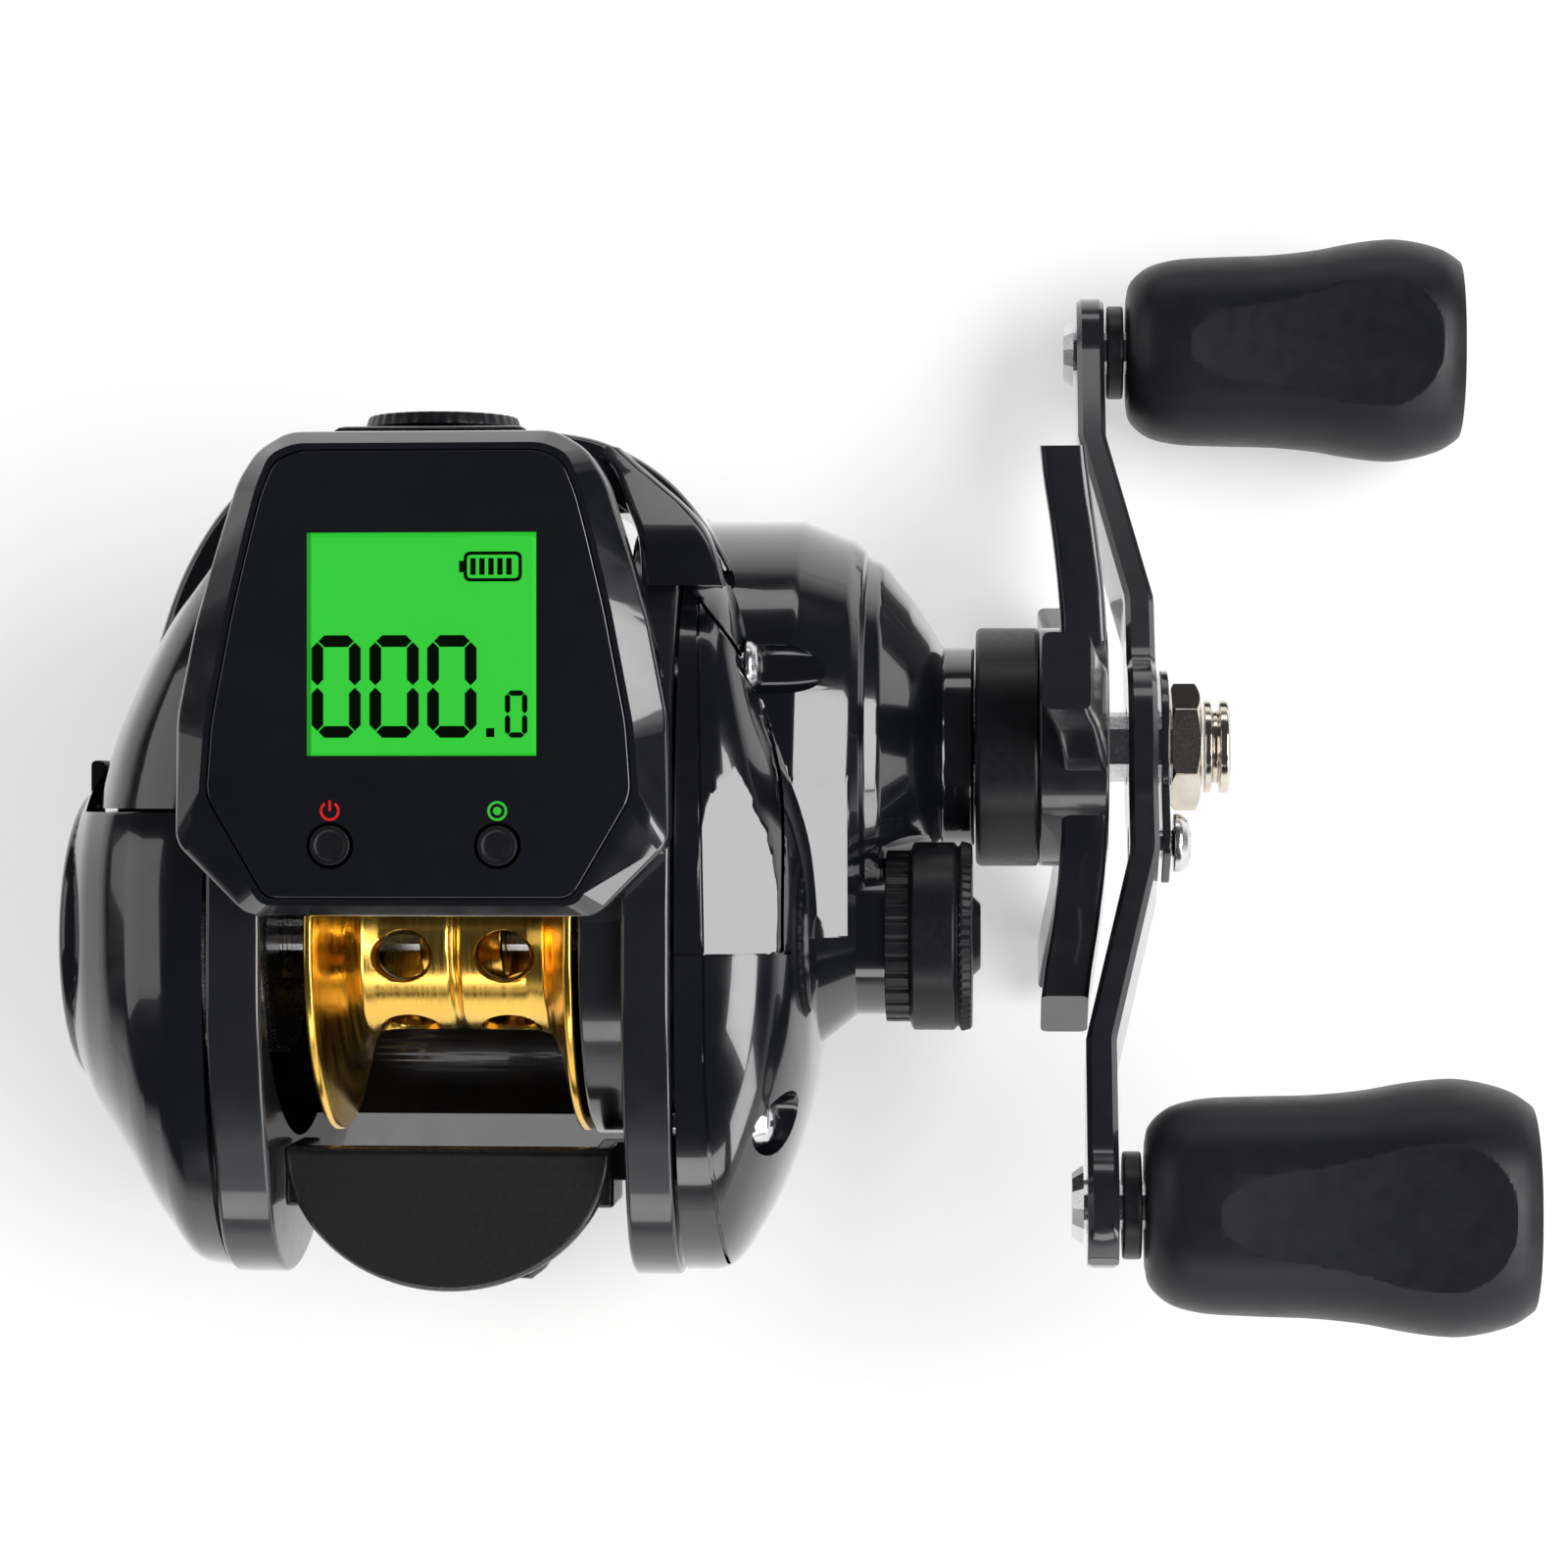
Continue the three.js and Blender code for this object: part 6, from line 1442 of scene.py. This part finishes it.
def make_handle_arm():
    tip = KNOB_CENTRE + ARM_END_RADIUS
    rings = []
    for i in range(ARM_STATIONS + 1):
        along = tip * math.sin(math.pi * (i / ARM_STATIONS - 0.5))
        bend = (abs(along) - ARM_HUB_HALF) / (ARM_BEND_END - ARM_HUB_HALF)
        x = ARM_START - ARM_OFFSET * max(0, min(1, bend))
        half = arm_half_width(along)
        chamfer = min(ARM_CHAMFER, half / 2)
        section = [
            (x + chamfer, -half), (x + ARM_THICK - chamfer, -half), (x + ARM_THICK, chamfer - half),
            (x + ARM_THICK, half - chamfer), (x + ARM_THICK - chamfer, half), (x + chamfer, half),
            (x, half - chamfer), (x, chamfer - half),
        ]
        rings.append([Vector((across, along, up)) for across, up in section])
    past = (ARM_START - ARM_OFFSET - PAST, ARM_START + ARM_THICK + PAST)
    holes = [
        rod(*past, SPINDLE_RADIUS + GAP), shifted(rod(*past, SCREW_SHANK + GAP), 0, RETAINER_SCREW_V),
        *(shifted(rod(*past, KNOB_PIN_RADIUS + GAP), 0, side * KNOB_CENTRE) for side in (-1, 1)),
    ]
    return cut(skin(rings), *holes)


def make_retainer():
    start, end = RETAINER
    half, reach, corner = RETAINER_TONGUE
    tongue = slab_along(rounded((-reach, 0), (-half, half), corner), start, end, FINE_EDGE)
    disc = rod(start, end, RETAINER_RADIUS, ROUND_SIDES, FINE_EDGE)
    past = (start - PAST, end + PAST)
    return cut(
        joined(disc, tongue), rod(*past, SPINDLE_RADIUS + GAP),
        shifted(rod(*past, SCREW_SHANK + GAP), 0, RETAINER_SCREW_V),
    )


def make_nut():
    start, end = NUT
    turns = [NUT_TURN + 2 * math.pi * i / 6 for i in range(6)]
    corners = [(NUT_CORNER * math.cos(turn), NUT_CORNER * math.sin(turn)) for turn in turns]
    hexagon = slab_along(eased(corners, NUT_EDGE, closed=True), start, end, 0)
    crown = lathe([(start + along, NUT_CORNER + out) for along, out in NUT_CROWN], KEEN_EDGE, BIG_SIDES)
    return cut(common(hexagon, crown), rod(start - PAST, end + PAST, SPINDLE_RADIUS + GAP))


def make_end_cap():
    return lathe(shares(END_CAP_SHAPE, *END_CAP, END_CAP_RADIUS), END_CAP_EDGE)


def make_knob():
    end = KNOB_START + KNOB_LENGTH
    flatness = KNOB_THICKNESS / 2 / KNOB_RADIUS
    outline = curved(shares(KNOB_SHAPE, KNOB_START, end, KNOB_RADIUS), 6)
    grip = skin([oval(x, r, r, r * flatness, r * flatness, BIG_SIDES, KNOB_FULLNESS) for x, r in outline])
    bore_end = KNOB_START + KNOB_LENGTH * KNOB_BORE_SHARE + GAP
    roller = forward(rod(-2 * KNOB_RADIUS, 2 * KNOB_RADIUS, KNOB_HOLLOW_RADIUS, 6 * BIG_SIDES))
    hollow_x = KNOB_START + KNOB_HOLLOW_SHARE * KNOB_LENGTH
    hollow_w = KNOB_HOLLOW_W + KNOB_HOLLOW_RADIUS
    hollows = [shifted(roller, hollow_x, 0, side * hollow_w) for side in (-1, 1)]
    return cut(grip, rod(KNOB_START - PAST, bore_end, KNOB_PIN_RADIUS + GAP), *hollows)


def make_worm():
    """A shaft with two grooves that cross each other, one to each hand."""
    rings = []
    for step in range(WORM_STEPS + 1):
        along = step / WORM_STEPS
        ring = []
        for i in range(SMALL_SIDES):
            turn = i / SMALL_SIDES
            depth = 0
            for hand in (1, -1):
                gap = abs((turn + hand * along * WORM_TURNS + 1.5) % 1 - 0.5)
                depth = max(depth, 1 - (gap / WORM_GROOVE_SHARE) ** 2)
            radius = WORM_RADIUS - WORM_GROOVE * math.sqrt(depth)
            x, angle = (2 * along - 1) * WORM_HALF, 2 * math.pi * turn
            ring.append(Vector((x, radius * math.cos(angle), radius * math.sin(angle))))
        rings.append(ring)
    return joined(skin(rings), rod(*WORM_JOURNALS, JOURNAL_RADIUS))


def make_line_guide():
    half, low, high, corner = EYE
    past = GUIDE_HALF + PAST
    body = block(
        (-GUIDE_HALF, GUIDE_HALF), (GUIDE_REAR, GUIDE_FRONT), (GUIDE_FOOT, GUIDE_TOP), EDGE, GUIDE_CORNER,
    )
    return cut(
        body, rod(-past, past, WORM_RADIUS + GAP),
        shifted(rod(-past, past, GUIDE_BAR_RADIUS + GAP), 0, 0, GUIDE_BAR_W),
        hole_forward((-half, half), (low, high), GUIDE_REAR - PAST, GUIDE_FRONT + PAST, corner, 8),
        forward(rod(0, GUIDE_FRONT + PAST, PAWL_RADIUS + GAP)),
    )


def make_pawl():
    start, seat = WORM_RADIUS + GAP, GUIDE_FRONT + GAP
    head_radius, head, chamfer = PAWL_HEAD
    return forward(lathe([
        (start, PAWL_RADIUS), (seat, PAWL_RADIUS), (seat, head_radius), (seat + head, chamfer * head_radius),
    ], PAWL_EDGE, SMALL_SIDES))


def ink(outline, top=GLASS_TOP):
    return slab_up(outline, top - INK, top + INK, 0)


def seven_segment_zero(left, bottom, size, stroke):
    """The six bars of a seven-segment nought, each pointed at its ends."""
    width, height = size
    half, gap = stroke / 2, stroke * DIGIT_GAP_SHARE
    lines_x = (left + half, left + width - half)
    lines_v = (bottom + half, bottom + height / 2, bottom + height - half)

    def bar(start, end):
        start, end = (Vector((lines_x[column], lines_v[row])) for column, row in (start, end))
        along = (end - start).normalized()
        across = Vector((-along.y, along.x)) * half
        start, end = start + along * gap, end - along * gap
        return ink([
            start, start + along * half - across, end - along * half - across,
            end, end - along * half + across, start + along * half + across,
        ])

    across = [bar((0, row), (1, row)) for row in (0, 2)]
    return across + [bar((column, row), (column, row + 1)) for column in (0, 1) for row in (0, 1)]


def battery_mark():
    (x0, x1), (v0, v1) = BATTERY_MARK
    line = BATTERY_LINE
    outer_corner, inner_corner = BATTERY_CORNERS
    nub_length, nub_half = BATTERY_NUB
    middle = (v0 + v1) / 2
    outer = ink(rounded((x0, x1), (v0, v1), outer_corner))
    inner = slab_up(rounded((x0 + line, x1 - line), (v0 + line, v1 - line), inner_corner),
                    GLASS_TOP - PAST, GLASS_TOP + PAST, 0)
    nub = ink(rectangle((x0 - nub_length, x0), (middle - nub_half, middle + nub_half)))
    bars = []
    room = x1 - x0 - 4 * line
    for i in range(BATTERY_BARS):
        start = x0 + 2 * line + room * i / BATTERY_BARS
        end = start + room / BATTERY_BARS - BATTERY_BAR_GAP
        bars.append(ink(rectangle((start, end), (v0 + 2 * line, v1 - 2 * line))))
    return [cut(outer, inner), nub, *bars]


def gather(shapes):
    """Separate shapes as one mesh."""
    points, faces = [], []
    for shape_points, shape_faces in shapes:
        offset = len(points)
        points += shape_points
        faces += [[offset + corner for corner in face] for face in shape_faces]
    return points, faces


def arc_band(x, radius, width, start=0, end=RING_END):
    middle = (x, MARK_V)
    return ink([*arc(radius, start, end, middle), *arc(radius - width, start, end, middle)[::-1]], POD_TOP)


def power_mark():
    x = BUTTONS["power_button"]
    ring = arc_band(x, MARK_RADIUS, MARK_LINE, math.pi / 2 + MARK_GAP, math.pi * 5 / 2 - MARK_GAP)
    stem = rectangle((x - MARK_LINE / 2, x + MARK_LINE / 2), (MARK_V, MARK_V + MARK_STEM * MARK_RADIUS))
    return gather([ring, ink(stem, POD_TOP)])


def set_mark():
    x = BUTTONS["set_button"]
    dot, dot_line = MARK_DOT
    return gather([
        arc_band(x, MARK_RADIUS, MARK_LINE), arc_band(x, MARK_RADIUS * dot, MARK_RADIUS * dot_line),
    ])


# Body of the reel
dress("frame", make_frame(), "black_metal", bevel=FINE_EDGE)
dress("reel_foot", make_foot(), "gloss_black", place=UPRIGHT, bevel=FINE_EDGE)
foot_screw = make_screw(GAP - FOOT_PAD[2], 0, SCREW_HEAD_HEIGHT, SCREW_HEAD_RADIUS)
foot_screw = placed(foot_screw, Matrix.Rotation(math.pi / 2, 4, "Y"))
for screw_name, screw_y in FOOT_SCREWS.items():
    dress(screw_name, shifted(foot_screw, 0, screw_y, FOOT_SCREW_SUNK), "steel", place=UPRIGHT)
dress("palm_side_cover", make_palm_cover(), "gloss_black", "palm_cover", bevel=FINE_EDGE)
dress("brake_dial", make_brake_dial(), "gloss_black", "brake_dial")
dress("cover_lock_lever", make_lock_lever(), "satin_black", "lock_lever")
dress("handle_side_cover", make_side_cover(), "gloss_black", bevel=FINE_EDGE)
for screw_name, (screw_place, _, proud) in COVER_SCREWS.items():
    cover_screw = make_screw(
        COVER_SCREW_TIP, COVER_SCREW_HEAD + proud, SCREW_HEAD_HEIGHT - GAP + proud, SCREW_HEAD_RADIUS,
    )
    dress(screw_name, shifted(cover_screw, 0, *screw_place), "steel")
dress("tension_knob", make_tension_knob(), "satin_black", "tension_knob")
dress("front_hood", make_hood(), "gloss_black", bevel=FINE_EDGE)

# Line counter
dress("display_housing", make_pod(), "gloss_black", bevel=FINE_EDGE)
dress("display_face", make_face(), "gloss_black")
dress("lcd_panel", make_lcd(), "display")
digits = [seven_segment_zero(left, DIGIT_BOTTOM, DIGIT_SIZE, DIGIT_STROKE) for left in DIGIT_LEFTS]
digits.append(seven_segment_zero(SMALL_DIGIT_LEFT, DIGIT_BOTTOM, SMALL_DIGIT_SIZE, SMALL_DIGIT_STROKE))
display_marks = gather([*sum(digits, []), ink(rectangle(*POINT)), *battery_mark()])
piece("display_segments", display_marks, DECK, SEGMENT_INK, "reel_body")
piece("power_mark", power_mark(), DECK, RED_INK, "reel_body")
piece("set_mark", set_mark(), DECK, GREEN_INK, "reel_body")
for button_name, button_x in BUTTONS.items():
    dress(button_name, shifted(make_button(), button_x, BUTTON_V), "satin_black", button_name)
battery_cap = shifted(make_battery_cap(), 0, 0, BATTERY_W)
dress("battery_cap", battery_cap, "satin_black", "battery_cap", bevel=THIN_EDGE)

# Spool and thumb bar
dress("spool", make_spool(), "gold_anodised", "spool", bevel=KEEN_EDGE)
dress("thumb_bar", make_thumb_bar(), "carbon_fibre", "thumb_bar", bevel=FINE_EDGE)

# Drag and handle
dress("drag_collar", make_collar(), "satin_black", "star_drag", DRIVE)
dress("star_drag", make_star(), "black_metal", "star_drag", DRIVE, FINE_EDGE)
dress("handle_arm", make_handle_arm(), "black_metal", "handle", HANDLE)
dress("nut_retainer", make_retainer(), "black_metal", "handle", HANDLE, KEEN_EDGE)
screw_radius, screw_head = RETAINER_SCREW
retainer_screw = make_screw(ARM_START + GAP, RETAINER[1] + GAP + screw_head, screw_head, screw_radius)
dress("retainer_screw", shifted(retainer_screw, 0, RETAINER_SCREW_V), "steel", "handle", HANDLE)
dress("handle_nut", make_nut(), "nickel", "handle", HANDLE, KEEN_EDGE)
dress("axle_end_cap", make_end_cap(), "nickel", "handle", HANDLE)
knob_collar = tube(*KNOB_COLLAR, KNOB_PIN_RADIUS + GAP, KNOB_COLLAR_RADIUS, KNOB_COLLAR_EDGE)
unturned = Matrix.Rotation(-HANDLE_TURN, 4, "X")
for end_name, side in (("front", 1), ("rear", -1)):
    at_knob = HANDLE @ Matrix.Translation((0, side * KNOB_CENTRE, 0)) @ unturned
    collar_name = f"knob_collar_{end_name}"
    dress(collar_name, knob_collar, "satin_black", frame["nodes"][collar_name]["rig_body"], at_knob)
    knob_body = f"{end_name}_knob"
    dress(f"handle_knob_{end_name}", make_knob(), "knob_rubber", knob_body, at_knob, SOFT_EDGE / 2)

# Line winding
dress("worm_shaft", make_worm(), "steel", "worm", WORM)
dress("line_guide", make_line_guide(), "satin_black", "line_guide", WORM, THIN_EDGE)
dress("line_guide_pawl", make_pawl(), "brass", "line_guide", WORM)

for kept_slot, kept_names in KEPT_NODES.items():
    for kept_name in kept_names:
        for kept_material in frame["nodes"][kept_name].material_slots:
            kept_material.material = FINISHES[kept_slot]

# Camera, straight down on the display
camera_data = bpy.data.cameras.new("camera")
camera_data.lens = LENS
camera_data.sensor_width = SENSOR_WIDTH
camera_data.clip_start = NEAREST_SEEN
camera = new_object("camera", camera_data)
camera_turn = math.atan2(CAMERA_PLACE[0] - CAMERA_AIM_X, CAMERA_PLACE[2])
camera.matrix_world = (
    Matrix.Translation(DECK @ Vector(CAMERA_PLACE))
    @ Matrix.Rotation(DECK_TILT, 4, "X") @ Matrix.Rotation(camera_turn, 4, "Y")
)
bpy.context.scene.camera = camera

# Floor under the lowest point of the reel
floor_mesh = bpy.data.meshes.new("floor")
floor_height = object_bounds()[0][2]
floor_corners = rectangle((-FLOOR_HALF, FLOOR_HALF), (-FLOOR_HALF, FLOOR_HALF))
floor_mesh.from_pydata([(*corner, floor_height) for corner in floor_corners], [], [(0, 1, 2, 3)])
floor = new_object("floor", floor_mesh)


def seen_directly(tree):
    """1 for camera, glossy and transmission rays, else 0."""
    rays = new_node(tree, "LightPath", {}).outputs
    total = rays["Is Camera Ray"]
    for other in ("Is Glossy Ray", "Is Transmission Ray"):
        step = new_node(tree, "Math", {0: total, 1: rays[other]})
        step.operation = "MAXIMUM"
        total = step.outputs[0]
    return total


floor_finish = Finish("pale_floor", FLOOR_COLOUR, 0.9, specular=0)
lift = floor_finish.node("Math", {0: seen_directly(floor_finish.tree), 1: FLOOR_LIFT})
lift.operation = "MULTIPLY"
floor_finish.show({"Emission Color": WHITE, "Emission Strength": lift.outputs[0]})
floor_mesh.materials.append(floor_finish.material)

# World: white to the camera, pale low down and dark overhead in what is mirrored, and an even grey as light
world = bpy.data.worlds.new("studio")
bpy.context.scene.world = world
world.use_nodes = True
sky = world.node_tree
direction = new_node(sky, "TexCoord", {}).outputs["Generated"]
upward = new_node(sky, "SeparateXYZ", {"Vector": direction}).outputs["Z"]


def mixed(factor, first, second):
    """The first colour where the factor is 0, the second where it is 1."""
    node = new_node(sky, "Mix", {})
    node.data_type = "RGBA"
    feed(sky, node, {0: factor, 6: first, 7: second})
    return node.outputs[2]


plain = mixed(seen_directly(sky), SKY_LIGHT, ramp(sky, upward, SKY_LOW, SKY_HIGH))
is_camera_ray = new_node(sky, "LightPath", {}).outputs["Is Camera Ray"]
feed(sky, sky.nodes["Background"], {"Color": mixed(is_camera_ray, plain, WHITE)})

for lamp_name, (place, aim, width, height, radiance) in SOFTBOXES.items():
    lamp_data = bpy.data.lights.new(lamp_name, "AREA")
    lamp_data.shape = "RECTANGLE"
    lamp_data.size = width
    lamp_data.size_y = height
    lamp_data.energy = radiance * math.pi * width * height
    lamp = new_object(lamp_name, lamp_data)
    away = Vector(place) - Vector(aim)
    lamp.matrix_world = Matrix.Translation(place) @ away.to_track_quat("Z", "Y").to_matrix().to_4x4()
    lamp.visible_camera = False

bpy.context.scene.view_settings.view_transform = "Standard"
